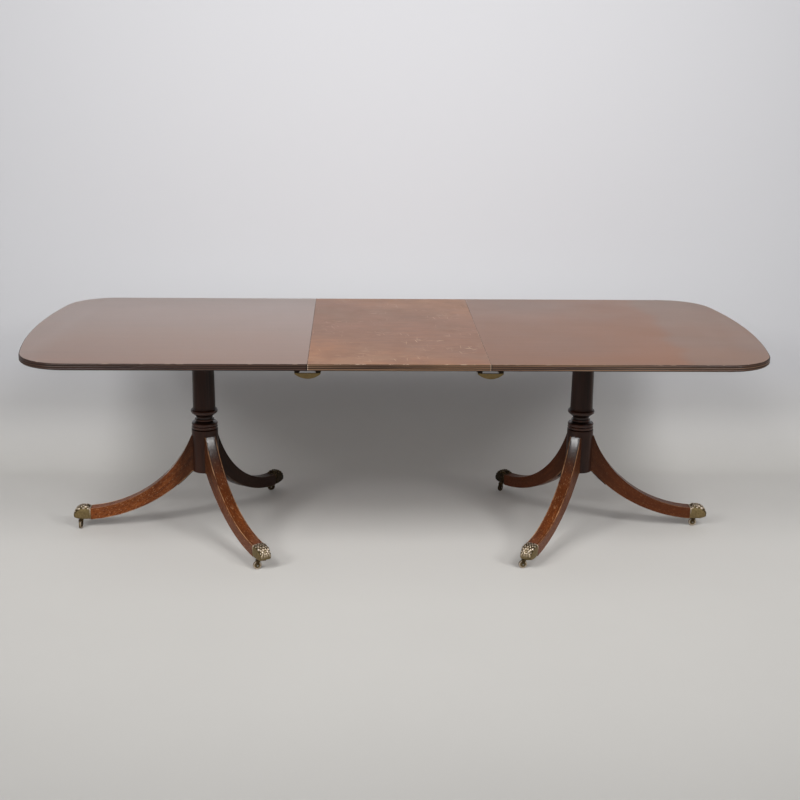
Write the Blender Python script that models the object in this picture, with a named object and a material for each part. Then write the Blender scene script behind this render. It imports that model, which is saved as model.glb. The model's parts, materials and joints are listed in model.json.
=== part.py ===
"""Twin-pedestal extending dining table with a loose leaf.

Two rounded end sections stand on turned pillars, each with three sabre legs on brass paw caps and
swivel casters. A loose leaf lies between them, lined up by tongues and held by sliding brass clips.
Metres, +Z up, +X along the table, -Y to the front, origin on the floor under the middle of the leaf.
"""

import math

import bmesh
import bpy
from mathutils import Matrix, Vector

# Fits: what touches keeps GAP, what is held in a hole or slot keeps CLEARANCE all round
GAP = 0.0003
CLEARANCE = 0.0003

# Tops
TABLE_LENGTH = 2.5
TABLE_WIDTH = 1.03
TABLE_HEIGHT = 0.74
LEAF_LENGTH = 0.575
TOP_THICKNESS = 0.022
END_BOW_RADIUS = 2.0
CORNER_RADIUS = 0.17

# Reeded edge of the tops
REED_COUNT = 3
REED_DEPTH = 0.003
EDGE_LIP = 0.0014

# Tongues between the tops
TONGUE_LENGTH = 0.05
TONGUE_WIDTH = 0.045
TONGUE_THICKNESS = 0.008
TONGUE_SPACING = 0.52

# Bearers and pillar blocks under the tops
PILLAR_SPACING = 1.345
BLOCK_LENGTH = 0.2
BLOCK_WIDTH = 0.26
BLOCK_THICKNESS = 0.038
BEARER_LENGTH = 0.8
BEARER_WIDTH = 0.035
BEARER_HEIGHT = 0.04
BEARER_TIP_HEIGHT = 0.014
BEARER_TAPER = 0.14

# Turned pillars
PILLAR_TENON_DIAMETER = 0.045
PILLAR_TENON_LENGTH = 0.034
SHAFT_TOP_DIAMETER = 0.075
SHAFT_FOOT_DIAMETER = 0.081
UPPER_RING_DIAMETER = 0.095
UPPER_RING_SHOULDER = 0.01
NECK_FLARE = 0.023
NECK_DIAMETER = 0.059
NECK_LENGTH = 0.007
NECK_FOOT = 0.01
LOWER_RING_DIAMETER = 0.091
LOWER_RING_HEIGHT = 0.015
BEAD_COUNT = 2
BEAD_DIAMETER = 0.0925
BEAD_HEIGHT = 0.013
BEAD_DEPTH = 0.0025
HUB_DIAMETER = 0.0936
HUB_LENGTH = 0.14
HUB_BOTTOM = 0.218

# Sabre legs
LEG_SPREAD = 0.45
LEG_WIDTH = 0.042
LEG_TOE_HEIGHT = 0.042
LEG_TOP_DROP = 0.006
LEG_TOP_SAG = 0.066
LEG_UNDER_SAG = 0.039
LEG_BEAD_WIDTH = 0.005
LEG_PANEL_DEPTH = 0.0016
DOVETAIL_DEPTH = 0.024
DOVETAIL_WIDTH = 0.016
DOVETAIL_FLARE = 0.12
DOVETAIL_LAP = 0.0025
DOVETAIL_TOP_DROP = 0.022

# Tie plates under the hubs
TIE_PLATE_THICKNESS = 0.003
TIE_PLATE_WIDTH = 0.024
TIE_PLATE_REACH = 0.085

# Paw caps
CAP_BACK = 0.034
CAP_FRONT = 0.027
CAP_LIP_LENGTH = 0.0035
CAP_LIP_RISE = 0.002
CAP_KNUCKLE_BACK = 0.011
CAP_KNUCKLE_FRONT = 0.006
CAP_WALL = 0.004
CAP_POCKET_DEPTH = 0.02
CAP_KNUCKLE_RISE = 0.008
CAP_TOE_COUNT = 4
CAP_TOE_RISE = 0.003
CAP_TOE_BULGE = 0.002
CAP_TIP_TOP = 0.024
CAP_TIP_BOTTOM = 0.009

# Casters
WHEEL_DIAMETER = 0.029
WHEEL_WIDTH = 0.008
WHEEL_CROWN = 0.001
WHEEL_TOP_ROOM = 0.001
WHEEL_SIDE_ROOM = 0.0006
AXLE_DIAMETER = 0.004
AXLE_HEAD_DIAMETER = 0.0062
AXLE_HEAD_HEIGHT = 0.0009
CASTER_TRAIL = 0.018
HORN_CHEEK = 0.0024
HORN_CROWN = 0.0035
HORN_NOSE = 0.011
HORN_EAR_DIAMETER = 0.011
HORN_EAR_TILT = math.radians(15)
STEM_DIAMETER = 0.008
STEM_LENGTH = 0.014
SWIVEL_GAP = 0.0004

# Leaf clips and their sockets
PRONG_SPACING = 0.067
PRONG_WIDTH = 0.015
PRONG_THICKNESS = 0.0045
PRONG_LENGTH = 0.066
CLIP_INSET = 0.002
CLIP_PLATE_THICKNESS = 0.004
CLIP_PLATE_HEIGHT = 0.019
CLIP_PLATE_SHOULDER = 0.003
SOCKET_WALL = 0.0013
SOCKET_LENGTH = 0.042
SOCKET_SETBACK = 0.014

# Smoothness of the facets
CORNER_STEPS = 8
BOW_STEPS = 8
REED_STEPS = 4
CURVE_STEPS = 4
PILLAR_SIDES = 28
LEG_STEPS = 11
WHEEL_SIDES = 24
PIN_SIDES = 12
PLATE_ARC_STEPS = 12
TOE_STEPS = 4
SMOOTH_ANGLE = math.radians(35)
MERGE_DISTANCE = 1e-6

# Turn of each end section about the middle of the table, and of each leg about its pillar
SIDE_TURN = {"right": 0.0, "left": math.pi}
LEG_TURN = {"end": 0.0, "front": math.radians(-120), "rear": math.radians(120)}
# Compass heading of each caster's trailing wheel, in degrees from +X, as the table was rolled to its place
CASTER_HEADING = {
    "left_end": -100,
    "left_front": -165,
    "left_rear": -170,
    "right_end": 180,
    "right_front": -176,
    "right_rear": -130,
}

# Heights and places that follow from the sizes above
TOP_UNDERSIDE = TABLE_HEIGHT - TOP_THICKNESS
BLOCK_TOP = TOP_UNDERSIDE - GAP
BLOCK_BOTTOM = BLOCK_TOP - BLOCK_THICKNESS
SHAFT_TOP = BLOCK_BOTTOM - GAP
HUB_TOP = HUB_BOTTOM + HUB_LENGTH
HUB_RADIUS = HUB_DIAMETER / 2
WHEEL_RADIUS = WHEEL_DIAMETER / 2
HORN_TOP = WHEEL_DIAMETER + WHEEL_TOP_ROOM + HORN_CROWN
HORN_WIDTH = WHEEL_WIDTH + 2 * (WHEEL_SIDE_ROOM + HORN_CHEEK)
CAP_BOTTOM = HORN_TOP + SWIVEL_GAP
CAP_BACK_REACH = LEG_SPREAD - CAP_BACK
PRONG_TOP = TOP_UNDERSIDE - GAP - SOCKET_WALL - CLEARANCE
PRONG_BOTTOM = PRONG_TOP - PRONG_THICKNESS
SEAM = LEAF_LENGTH / 2
END_FACE = SEAM + GAP


def clear_scene():
    for item in list(bpy.data.objects):
        bpy.data.objects.remove(item, do_unlink=True)


# Materials


def make_material(name, colour, roughness, metallic=0.0):
    material = bpy.data.materials.new(name)
    material.use_nodes = True
    material.diffuse_color = (*colour, 1.0)
    shader = material.node_tree.nodes["Principled BSDF"]
    shader.inputs["Base Color"].default_value = (*colour, 1.0)
    shader.inputs["Roughness"].default_value = roughness
    shader.inputs["Metallic"].default_value = metallic
    return material


def make_materials():
    return {
        "top": make_material("polished_mahogany_top", (0.13, 0.05, 0.03), 0.3),
        "leaf": make_material("worn_mahogany_leaf", (0.2, 0.1, 0.06), 0.45),
        "tongue": make_material("beech_tongue", (0.45, 0.3, 0.17), 0.6),
        "bearer": make_material("plain_mahogany_bearer", (0.16, 0.07, 0.04), 0.6),
        "block": make_material("plain_mahogany_block", (0.15, 0.065, 0.035), 0.6),
        "pillar": make_material("dark_mahogany_pillar", (0.03, 0.012, 0.008), 0.3),
        "leg": make_material("polished_mahogany_leg", (0.16, 0.055, 0.025), 0.35),
        "tie_plate": make_material("black_iron_tie_plate", (0.04, 0.04, 0.04), 0.6, 1.0),
        "cap": make_material("aged_brass_paw_cap", (0.3, 0.24, 0.14), 0.4, 1.0),
        "horn": make_material("aged_brass_caster_horn", (0.24, 0.19, 0.1), 0.45, 1.0),
        "wheel": make_material("brass_caster_wheel", (0.4, 0.31, 0.16), 0.35, 1.0),
        "axle": make_material("steel_caster_axle", (0.3, 0.29, 0.27), 0.4, 1.0),
        "clip": make_material("aged_brass_leaf_clip", (0.26, 0.2, 0.09), 0.4, 1.0),
        "socket": make_material("dark_brass_clip_socket", (0.14, 0.11, 0.06), 0.5, 1.0),
    }


# Small shape helpers


def as_mesh(bm, name):
    """The finished bmesh as a mesh with its faces pointing out and its round faces shaded smooth."""
    bmesh.ops.recalc_face_normals(bm, faces=bm.faces)
    mesh = bpy.data.meshes.new(name)
    bm.to_mesh(mesh)
    bm.free()
    mesh.shade_smooth()
    mesh.set_sharp_from_angle(angle=SMOOTH_ANGLE)
    return mesh


def loft(name, sections):
    """A closed body through rings of as many points each, in order, with both ends capped."""
    bm = bmesh.new()
    rings = [[bm.verts.new(point) for point in section] for section in sections]
    for ring, following in zip(rings, rings[1:]):
        for index in range(len(ring)):
            after = (index + 1) % len(ring)
            bm.faces.new((ring[index], ring[after], following[after], following[index]))
    bm.faces.new(rings[0])
    bm.faces.new(rings[-1])
    return as_mesh(bm, name)


def box(name, low, high):
    corners = [(low[0], low[1]), (high[0], low[1]), (high[0], high[1]), (low[0], high[1])]
    return loft(name, [[Vector((x, y, z)) for x, y in corners] for z in (low[2], high[2])])


def cylinder(name, radius, low, high, sides, inside=False):
    """An upright cylinder. Its facets' corners are at the radius or, for a bore, their middles are."""
    corner_radius = radius / math.cos(math.pi / sides) if inside else radius
    bm = bmesh.new()
    bmesh.ops.create_cone(
        bm,
        cap_ends=True,
        segments=sides,
        radius1=corner_radius,
        radius2=corner_radius,
        depth=high - low,
        matrix=Matrix.Translation((0, 0, (low + high) / 2)),
    )
    return as_mesh(bm, name)


def turned(name, profile, sides):
    """A body turned about Z from (radius, height) points that start and end on the axis."""
    bm = bmesh.new()
    points = [bm.verts.new((radius, 0, height)) for radius, height in profile]
    edges = [bm.edges.new(pair) for pair in zip(points, points[1:])]
    bmesh.ops.spin(
        bm,
        geom=points + edges,
        axis=(0, 0, 1),
        cent=(0, 0, 0),
        angle=2 * math.pi,
        steps=sides,
        use_merge=True,
    )
    bmesh.ops.remove_doubles(bm, verts=bm.verts, dist=MERGE_DISTANCE)
    return as_mesh(bm, name)


def moved(mesh, matrix):
    mesh.transform(matrix)
    return mesh


def combined(name, mesh, steps):
    """The mesh after Boolean steps, each an operation and the mesh that it is done with."""
    base = bpy.data.objects.new(name, mesh)
    bpy.context.scene.collection.objects.link(base)
    helpers = [base]
    for operation, other in steps:
        helper = bpy.data.objects.new(name + "_helper", other)
        bpy.context.scene.collection.objects.link(helper)
        helpers.append(helper)
        modifier = base.modifiers.new(operation.lower(), "BOOLEAN")
        modifier.operation = operation
        modifier.solver = "EXACT"
        modifier.object = helper
    graph = bpy.context.evaluated_depsgraph_get()
    result = bpy.data.meshes.new_from_object(base.evaluated_get(graph))
    result.name = name
    for helper in helpers:
        bpy.data.objects.remove(helper, do_unlink=True)
    result.shade_smooth()
    result.set_sharp_from_angle(angle=SMOOTH_ANGLE)
    return result


def arc(start, end, sag, steps):
    """Points on the arc from start to end that lies sag to the right of the straight way there."""
    start = Vector(start)
    end = Vector(end)
    along = end - start
    half = along.length / 2
    radius = (half**2 + sag**2) / (2 * sag)
    left = Vector((-along.y, along.x)).normalized()
    centre = (start + end) / 2 + left * (radius - sag)
    first = math.atan2(start.y - centre.y, start.x - centre.x)
    sweep = 2 * math.asin(half / radius)
    angles = [first + sweep * step / steps for step in range(steps + 1)]
    return [centre + radius * Vector((math.cos(a), math.sin(a))) for a in angles]


def quarter(start, end, hollow, steps=CURVE_STEPS):
    """A quarter ellipse between two (radius, height) points. Hollow leaves start along the height."""
    points = []
    for step in range(steps + 1):
        angle = math.pi / 2 * step / steps
        fast = math.sin(angle)
        slow = 1 - math.cos(angle)
        across, down = (slow, fast) if hollow else (fast, slow)
        points.append((start[0] + (end[0] - start[0]) * across, start[1] + (end[1] - start[1]) * down))
    return points


def place(name, mesh, material, parent, location=(0, 0, 0), turn=0.0):
    part = bpy.data.objects.new(name, mesh)
    part.location = location
    part.rotation_euler = (0, 0, turn)
    part.parent = parent
    if not mesh.materials:
        mesh.materials.append(material)
    bpy.context.scene.collection.objects.link(part)
    return part


def place_empty(name, parent, location=(0, 0, 0), turn=0.0):
    empty = bpy.data.objects.new(name, None)
    empty.location = location
    empty.rotation_euler = (0, 0, turn)
    empty.parent = parent
    bpy.context.scene.collection.objects.link(empty)
    return empty


# Tops


def edge_profile():
    """The reeded edge from bottom to top, as (distance in from the outermost line, height) points."""
    reed_height = (TOP_THICKNESS - 2 * EDGE_LIP) / REED_COUNT
    levels = [(REED_DEPTH, TOP_UNDERSIDE), (REED_DEPTH, TOP_UNDERSIDE + EDGE_LIP)]
    for reed in range(REED_COUNT):
        middle = TOP_UNDERSIDE + EDGE_LIP + (reed + 0.5) * reed_height
        for step in range(1, REED_STEPS + 1):
            angle = math.pi * (step / REED_STEPS - 0.5)
            inset = REED_DEPTH * (1 - math.cos(angle))
            levels.append((inset, middle + reed_height / 2 * math.sin(angle)))
    levels.append((REED_DEPTH, TABLE_HEIGHT))
    return levels


def end_outline(inset):
    """The end section's plan: straight front, round corner, bowed end, round corner, straight back."""
    half_width = TABLE_WIDTH / 2
    corner_y = half_width - CORNER_RADIUS
    bow_x = TABLE_LENGTH / 2 - END_BOW_RADIUS
    centre_distance = END_BOW_RADIUS - CORNER_RADIUS
    meet = math.asin(corner_y / centre_distance)
    corner_x = bow_x + centre_distance * math.cos(meet)
    corner_radius = CORNER_RADIUS - inset
    bow_radius = END_BOW_RADIUS - inset
    front = []
    for step in range(CORNER_STEPS + 1):
        angle = -math.pi / 2 + (math.pi / 2 - meet) * step / CORNER_STEPS
        across = corner_x + corner_radius * math.cos(angle)
        front.append((across, -corner_y + corner_radius * math.sin(angle)))
    bow = []
    for step in range(1, BOW_STEPS):
        angle = meet * (2 * step / BOW_STEPS - 1)
        bow.append((bow_x + bow_radius * math.cos(angle), bow_radius * math.sin(angle)))
    back = [(x, -y) for x, y in reversed(front)]
    return [(END_FACE, inset - half_width), *front, *bow, *back, (END_FACE, half_width - inset)]


def leaf_outline(inset):
    half_width = TABLE_WIDTH / 2 - inset
    return [(-SEAM, -half_width), (SEAM, -half_width), (SEAM, half_width), (-SEAM, half_width)]


def mortise(centre_x, centre_y):
    half_length = TONGUE_LENGTH / 2 + CLEARANCE
    half_width = TONGUE_WIDTH / 2 + CLEARANCE
    half_thickness = TONGUE_THICKNESS / 2 + CLEARANCE
    middle = TABLE_HEIGHT - TOP_THICKNESS / 2
    low = (centre_x - half_length, centre_y - half_width, middle - half_thickness)
    high = (centre_x + half_length, centre_y + half_width, middle + half_thickness)
    return box("mortise", low, high)


def top_mesh(name, outline, seams):
    sections = [[Vector((x, y, z)) for x, y in outline(inset)] for inset, z in edge_profile()]
    cuts = []
    for seam in seams:
        for offset in (-TONGUE_SPACING / 2, TONGUE_SPACING / 2):
            cuts.append(("DIFFERENCE", mortise(seam, offset)))
    return combined(name, loft(name, sections), cuts)


def tongue_mesh():
    half = Vector((TONGUE_LENGTH / 2, TONGUE_WIDTH / 2, TONGUE_THICKNESS / 2))
    return box("tongue", -half, half)


def bearer_mesh():
    """A bearer along Y with its top at z = 0, tapered up to a thin tip at both ends."""
    half = BEARER_LENGTH / 2
    shoulder = half - BEARER_TAPER
    outline = [
        (-half, 0),
        (-half, -BEARER_TIP_HEIGHT),
        (-shoulder, -BEARER_HEIGHT),
        (shoulder, -BEARER_HEIGHT),
        (half, -BEARER_TIP_HEIGHT),
        (half, 0),
    ]
    sides = (-BEARER_WIDTH / 2, BEARER_WIDTH / 2)
    return loft("bearer", [[Vector((x, y, z)) for y, z in outline] for x in sides])


def block_mesh():
    half = (BLOCK_LENGTH / 2, BLOCK_WIDTH / 2)
    body = box("pillar_block", (-half[0], -half[1], BLOCK_BOTTOM), (half[0], half[1], BLOCK_TOP))
    bore_radius = PILLAR_TENON_DIAMETER / 2 + CLEARANCE
    bore = cylinder(
        "tenon_bore", bore_radius, BLOCK_BOTTOM - BLOCK_THICKNESS, TABLE_HEIGHT, PILLAR_SIDES, inside=True
    )
    return combined("pillar_block", body, [("DIFFERENCE", bore)])


# Pillars


def pillar_profile():
    """The turned outline from the tenon down to the foot of the hub."""
    bead = BEAD_DIAMETER / 2
    groove = bead - BEAD_DEPTH
    beads_top = HUB_TOP + BEAD_COUNT * BEAD_HEIGHT
    lower_ring_middle = beads_top + LOWER_RING_HEIGHT / 2
    neck_bottom = beads_top + LOWER_RING_HEIGHT + NECK_FOOT
    neck_top = neck_bottom + NECK_LENGTH
    ring_edge = neck_top + NECK_FLARE
    shaft_foot = ring_edge + UPPER_RING_SHOULDER
    neck = NECK_DIAMETER / 2
    tenon = PILLAR_TENON_DIAMETER / 2
    upper_ring = (UPPER_RING_DIAMETER / 2, ring_edge)
    lower_ring = (LOWER_RING_DIAMETER / 2, lower_ring_middle)
    ring_shoulder = (LOWER_RING_DIAMETER / 2 - NECK_FOOT / 2, beads_top + LOWER_RING_HEIGHT)
    points = [(0, SHAFT_TOP + PILLAR_TENON_LENGTH), (tenon, SHAFT_TOP + PILLAR_TENON_LENGTH)]
    points += [(tenon, SHAFT_TOP), (SHAFT_TOP_DIAMETER / 2, SHAFT_TOP)]
    points += quarter((SHAFT_FOOT_DIAMETER / 2, shaft_foot), upper_ring, hollow=True)
    points += quarter(upper_ring, (neck, neck_top), hollow=False)[1:]
    points += quarter((neck, neck_bottom), ring_shoulder, hollow=True)
    points += quarter(ring_shoulder, lower_ring, hollow=False)[1:]
    points.append((groove, beads_top))
    for number in reversed(range(BEAD_COUNT)):
        top = HUB_TOP + (number + 1) * BEAD_HEIGHT
        for step in range(1, CURVE_STEPS + 1):
            angle = math.pi * step / CURVE_STEPS
            height = top - BEAD_HEIGHT / 2 * (1 - math.cos(angle))
            points.append((groove + BEAD_DEPTH * math.sin(angle), height))
    points += [(HUB_RADIUS, HUB_TOP - BEAD_DEPTH), (HUB_RADIUS, HUB_BOTTOM), (0, HUB_BOTTOM)]
    return points


def dovetail_outline(inner, outer, grow):
    """Plan of a leg's dovetail between two distances from the pillar's axis, grown at its sides."""

    def half(reach):
        return DOVETAIL_WIDTH / 2 + (HUB_RADIUS - reach) * DOVETAIL_FLARE + grow

    return [(inner, -half(inner)), (outer, -half(outer)), (outer, half(outer)), (inner, half(inner))]


def dovetail_mesh(name, inner, outer, low, high, grow=0.0):
    outline = dovetail_outline(inner, outer, grow)
    return loft(name, [[Vector((x, y, z)) for x, y in outline] for z in (low, high)])


def pillar_mesh():
    inner = HUB_RADIUS - DOVETAIL_DEPTH - CLEARANCE
    outer = HUB_RADIUS + DOVETAIL_DEPTH
    low = HUB_BOTTOM - DOVETAIL_DEPTH
    high = HUB_TOP - DOVETAIL_TOP_DROP + CLEARANCE
    cuts = []
    for turn in LEG_TURN.values():
        slot = dovetail_mesh("leg_slot", inner, outer, low, high, grow=CLEARANCE)
        cuts.append(("DIFFERENCE", moved(slot, Matrix.Rotation(turn, 4, "Z"))))
    return combined("pillar", turned("pillar", pillar_profile(), PILLAR_SIDES), cuts)


# Legs, modelled along +X from the pillar's axis


def leg_curves():
    """The leg's upper and lower lines as (reach, height) points from the hub to the paw cap."""
    toe = CAP_BACK_REACH - GAP
    top = (HUB_RADIUS, HUB_TOP - LEG_TOP_DROP)
    upper = arc(top, (toe, CAP_BOTTOM + LEG_TOE_HEIGHT), LEG_TOP_SAG, LEG_STEPS)
    under = arc((HUB_RADIUS, HUB_BOTTOM), (toe, CAP_BOTTOM), LEG_UNDER_SAG, LEG_STEPS)
    return upper, under


def leg_section(upper, under, margin=0.0):
    """One ring of the leg: flat sides and foot, and a sunk panel between two beads on top."""
    upper = Vector((upper[0], 0, upper[1]))
    under = Vector((under[0], 0, under[1]))
    rise = (upper - under).normalized()
    upper = upper - rise * margin
    under = under + rise * margin
    half = LEG_WIDTH / 2 - margin
    round_off = LEG_PANEL_DEPTH
    bead = LEG_BEAD_WIDTH
    side = [
        (half, under),
        (half, upper - rise * round_off),
        (half - round_off, upper),
        (half - bead + round_off, upper),
        (half - bead, upper - rise * LEG_PANEL_DEPTH),
    ]
    right = [point + Vector((0, -width, 0)) for width, point in side]
    left = [point + Vector((0, width, 0)) for width, point in reversed(side)]
    return right + left


def leg_mesh():
    upper, under = leg_curves()
    into_hub = Vector((DOVETAIL_DEPTH / 2, 0))
    into_cap = Vector((GAP + CAP_POCKET_DEPTH - CLEARANCE, 0))
    margin = CAP_WALL + CLEARANCE
    sections = [leg_section(upper[0] - into_hub, under[0] - into_hub)]
    sections += [leg_section(high, low) for high, low in zip(upper, under)]
    sections.append(leg_section(upper[-1], under[-1], margin))
    sections.append(leg_section(upper[-1] + into_cap, under[-1] + into_cap, margin))
    hub = cylinder("hub_cutter", HUB_RADIUS + GAP, 0, TABLE_HEIGHT, PILLAR_SIDES, inside=True)
    dovetail = dovetail_mesh(
        "dovetail",
        HUB_RADIUS - DOVETAIL_DEPTH,
        HUB_RADIUS + GAP + DOVETAIL_LAP,
        HUB_BOTTOM + GAP,
        HUB_TOP - DOVETAIL_TOP_DROP,
    )
    return combined("leg", loft("leg", sections), [("DIFFERENCE", hub), ("UNION", dovetail)])


def tie_plate_mesh():
    """A three-armed plate: flat under the hub, with its arms bent along the legs' undersides."""
    under = [point for point in leg_curves()[1] if point.x <= TIE_PLATE_REACH + HUB_RADIUS]
    path = [Vector((HUB_RADIUS - GAP, HUB_BOTTOM - GAP))]
    for before, point in zip(under, under[1:]):
        along = (point - before).normalized()
        path.append(point + Vector((along.y, -along.x)) * 2 * GAP)
    half = TIE_PLATE_WIDTH / 2
    bm = bmesh.new()
    middle = []
    for turn in sorted(LEG_TURN.values()):
        turning = Matrix.Rotation(turn, 4, "Z")
        pairs = [[bm.verts.new(turning @ Vector((x, side, z))) for side in (-half, half)] for x, z in path]
        for pair, following in zip(pairs, pairs[1:]):
            bm.faces.new((pair[0], following[0], following[1], pair[1]))
        middle += pairs[0]
    bm.faces.new(middle)
    bm.normal_update()
    bmesh.ops.solidify(bm, geom=bm.faces[:], thickness=TIE_PLATE_THICKNESS)
    return as_mesh(bm, "tie_plate")


# Paw caps, in the same place as the legs


def cap_section(reach, sole, height, half_width, lobe):
    """One ring of a paw: flat sole and sides, with a row of toes across its top."""
    spots = TOE_STEPS * CAP_TOE_COUNT
    ring = [Vector((reach, half_width, CAP_BOTTOM + sole)), Vector((reach, -half_width, CAP_BOTTOM + sole))]
    for spot in range(spots + 1):
        across = -half_width + 2 * half_width * spot / spots
        swell = abs(math.sin(math.pi * spot / TOE_STEPS))
        ring.append(Vector((reach, across, CAP_BOTTOM + height - lobe * (1 - swell))))
    return ring


def cap_mesh():
    """A paw from back to front: a collar lip round the leg, the knuckles, and toes down to a round nose."""
    front = LEG_SPREAD + CAP_FRONT
    collar = LEG_TOE_HEIGHT
    lip_front = CAP_BACK_REACH + CAP_LIP_LENGTH
    lip = collar + CAP_LIP_RISE
    knuckle = collar + CAP_KNUCKLE_RISE
    half = LEG_WIDTH / 2
    wide = half + CAP_TOE_BULGE
    toes_start = LEG_SPREAD - CAP_KNUCKLE_FRONT
    sections = [
        cap_section(CAP_BACK_REACH, 0.0, lip, half, 0.0),
        cap_section(lip_front, 0.0, lip, half, 0.0),
        cap_section(lip_front + CAP_LIP_RISE, 0.0, collar, half, 0.0),
        cap_section(CAP_BACK_REACH + CAP_KNUCKLE_BACK, 0.0, knuckle, wide, CAP_TOE_RISE / 2),
        cap_section(toes_start, 0.0, knuckle, wide, CAP_TOE_RISE),
    ]
    for step in range(1, CURVE_STEPS + 1):
        angle = math.pi / 2 * step / CURVE_STEPS
        fall = 1 - math.cos(angle)
        reach = toes_start + (front - toes_start) * math.sin(angle)
        height = knuckle - (knuckle - CAP_TIP_TOP) * fall
        width = wide - CAP_TOE_BULGE * fall
        sections.append(cap_section(reach, CAP_TIP_BOTTOM * fall, height, width, CAP_TOE_RISE))
    pocket = box(
        "pocket",
        (CAP_BACK_REACH - CAP_POCKET_DEPTH, CAP_WALL - half, CAP_BOTTOM + CAP_WALL),
        (CAP_BACK_REACH + CAP_POCKET_DEPTH, half - CAP_WALL, CAP_BOTTOM + collar - CAP_WALL),
    )
    bore_top = HORN_TOP + STEM_LENGTH + CLEARANCE
    bore = cylinder("stem_bore", STEM_DIAMETER / 2 + CLEARANCE, 0, bore_top, PIN_SIDES, inside=True)
    moved(bore, Matrix.Translation((LEG_SPREAD, 0, 0)))
    return combined("paw_cap", loft("paw_cap", sections), [("DIFFERENCE", pocket), ("DIFFERENCE", bore)])


# Casters, modelled about the swivel axis with the wheel trailing along +X


def across_trail(mesh):
    """Turns a body that was made upright so that its axis lies across the caster."""
    return moved(mesh, Matrix.Rotation(math.pi / 2, 4, "X"))


def wheel_mesh():
    """A crowned wheel about its own axle, which stands on one flat facet."""
    half = WHEEL_WIDTH / 2
    facet = WHEEL_RADIUS / math.cos(math.pi / WHEEL_SIDES)
    shoulder = facet - WHEEL_CROWN
    flat = half - 2 * WHEEL_CROWN
    profile = [(0, half), (shoulder, half), (facet, flat), (facet, -flat), (shoulder, -half), (0, -half)]
    body = turned("wheel", profile, WHEEL_SIDES)
    bore_radius = AXLE_DIAMETER / 2 + CLEARANCE
    bore = cylinder("wheel_bore", bore_radius, -WHEEL_WIDTH, WHEEL_WIDTH, PIN_SIDES, inside=True)
    solid = across_trail(combined("wheel", body, [("DIFFERENCE", bore)]))
    return moved(solid, Matrix.Rotation(math.pi / WHEEL_SIDES, 4, "Y"))


def axle_mesh():
    """A riveted pin with a head outside each cheek of the horn."""
    pin = AXLE_DIAMETER / 2
    head = AXLE_HEAD_DIAMETER / 2
    cheek = HORN_WIDTH / 2 + GAP
    tip = cheek + AXLE_HEAD_HEIGHT
    round_off = AXLE_HEAD_HEIGHT / 2
    upper = [(0, tip), (head - round_off, tip), (head, tip - round_off), (head, cheek), (pin, cheek)]
    lower = [(radius, -height) for radius, height in reversed(upper)]
    return across_trail(turned("axle", upper + lower, PIN_SIDES))


def horn_mesh():
    """The caster's horn: a crown over the wheel, two cheeks down to the axle and a swivel stem."""
    ear = HORN_EAR_DIAMETER / 2
    axle = Vector((CASTER_TRAIL, WHEEL_RADIUS))
    plate = HORN_TOP - HORN_CROWN
    outline = [Vector((-HORN_NOSE, HORN_TOP)), Vector((-HORN_NOSE, plate))]
    for step in range(2 * CURVE_STEPS + 1):
        angle = HORN_EAR_TILT + math.pi * (1 + step / (2 * CURVE_STEPS))
        outline.append(axle + ear * Vector((math.cos(angle), math.sin(angle))))
    outline.append(Vector((CASTER_TRAIL + ear, plate)))
    outline.append(Vector((CASTER_TRAIL + ear - HORN_CROWN, HORN_TOP)))
    sides = (-HORN_WIDTH / 2, HORN_WIDTH / 2)
    body = loft("horn", [[Vector((point.x, y, point.y)) for point in outline] for y in sides])
    at_axle = Matrix.Translation((CASTER_TRAIL, 0, WHEEL_RADIUS))
    room = WHEEL_WIDTH / 2 + WHEEL_SIDE_ROOM
    slot = cylinder("slot", WHEEL_RADIUS + WHEEL_TOP_ROOM, -room, room, WHEEL_SIDES, inside=True)
    bore = cylinder("bore", AXLE_DIAMETER / 2 + CLEARANCE, -HORN_WIDTH, HORN_WIDTH, PIN_SIDES, inside=True)
    stem = cylinder("stem", STEM_DIAMETER / 2, HORN_TOP - HORN_CROWN / 2, HORN_TOP + STEM_LENGTH, PIN_SIDES)
    steps = [
        ("DIFFERENCE", moved(across_trail(slot), at_axle)),
        ("DIFFERENCE", moved(across_trail(bore), at_axle)),
        ("UNION", stem),
    ]
    return combined("horn", body, steps)


# Leaf clips, modelled about the seam with the finger plate's front at y = 0 and its prongs along +Y


def clip_mesh():
    outer = (PRONG_SPACING + PRONG_WIDTH) / 2
    inner = (PRONG_SPACING - PRONG_WIDTH) / 2
    half_thickness = PRONG_THICKNESS / 2
    bm = bmesh.new()

    def corner(x, z):
        return bm.verts.new((x, 0, z))

    shoulder = CLIP_PLATE_SHOULDER
    low = -half_thickness - shoulder
    bottom = arc((-outer, low), (outer, low), CLIP_PLATE_HEIGHT - shoulder, PLATE_ARC_STEPS)
    seat = [corner(x, -half_thickness) for x in (outer, inner, -inner, -outer)]
    bm.faces.new(seat + [corner(point.x, point.y) for point in bottom])
    for pair in (seat[:2], seat[2:]):
        crown = [corner(vert.co.x, half_thickness) for vert in reversed(pair)]
        bm.faces.new(pair + crown)
    outward = bmesh.ops.extrude_face_region(bm, geom=bm.faces[:], use_keep_orig=True)
    backs = [item for item in outward["geom"] if isinstance(item, bmesh.types.BMFace)]
    raised = [item for item in outward["geom"] if isinstance(item, bmesh.types.BMVert)]
    bmesh.ops.translate(bm, verts=raised, vec=(0, CLIP_PLATE_THICKNESS, 0))
    for face in backs:
        if face.calc_center_median().z < -half_thickness:
            continue
        prong = bmesh.ops.extrude_face_region(bm, geom=[face])
        tips = [item for item in prong["geom"] if isinstance(item, bmesh.types.BMVert)]
        bmesh.ops.translate(bm, verts=tips, vec=(0, PRONG_LENGTH, 0))
        bmesh.ops.delete(bm, geom=[face], context="FACES_ONLY")
    return as_mesh(bm, "leaf_clip")


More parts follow.
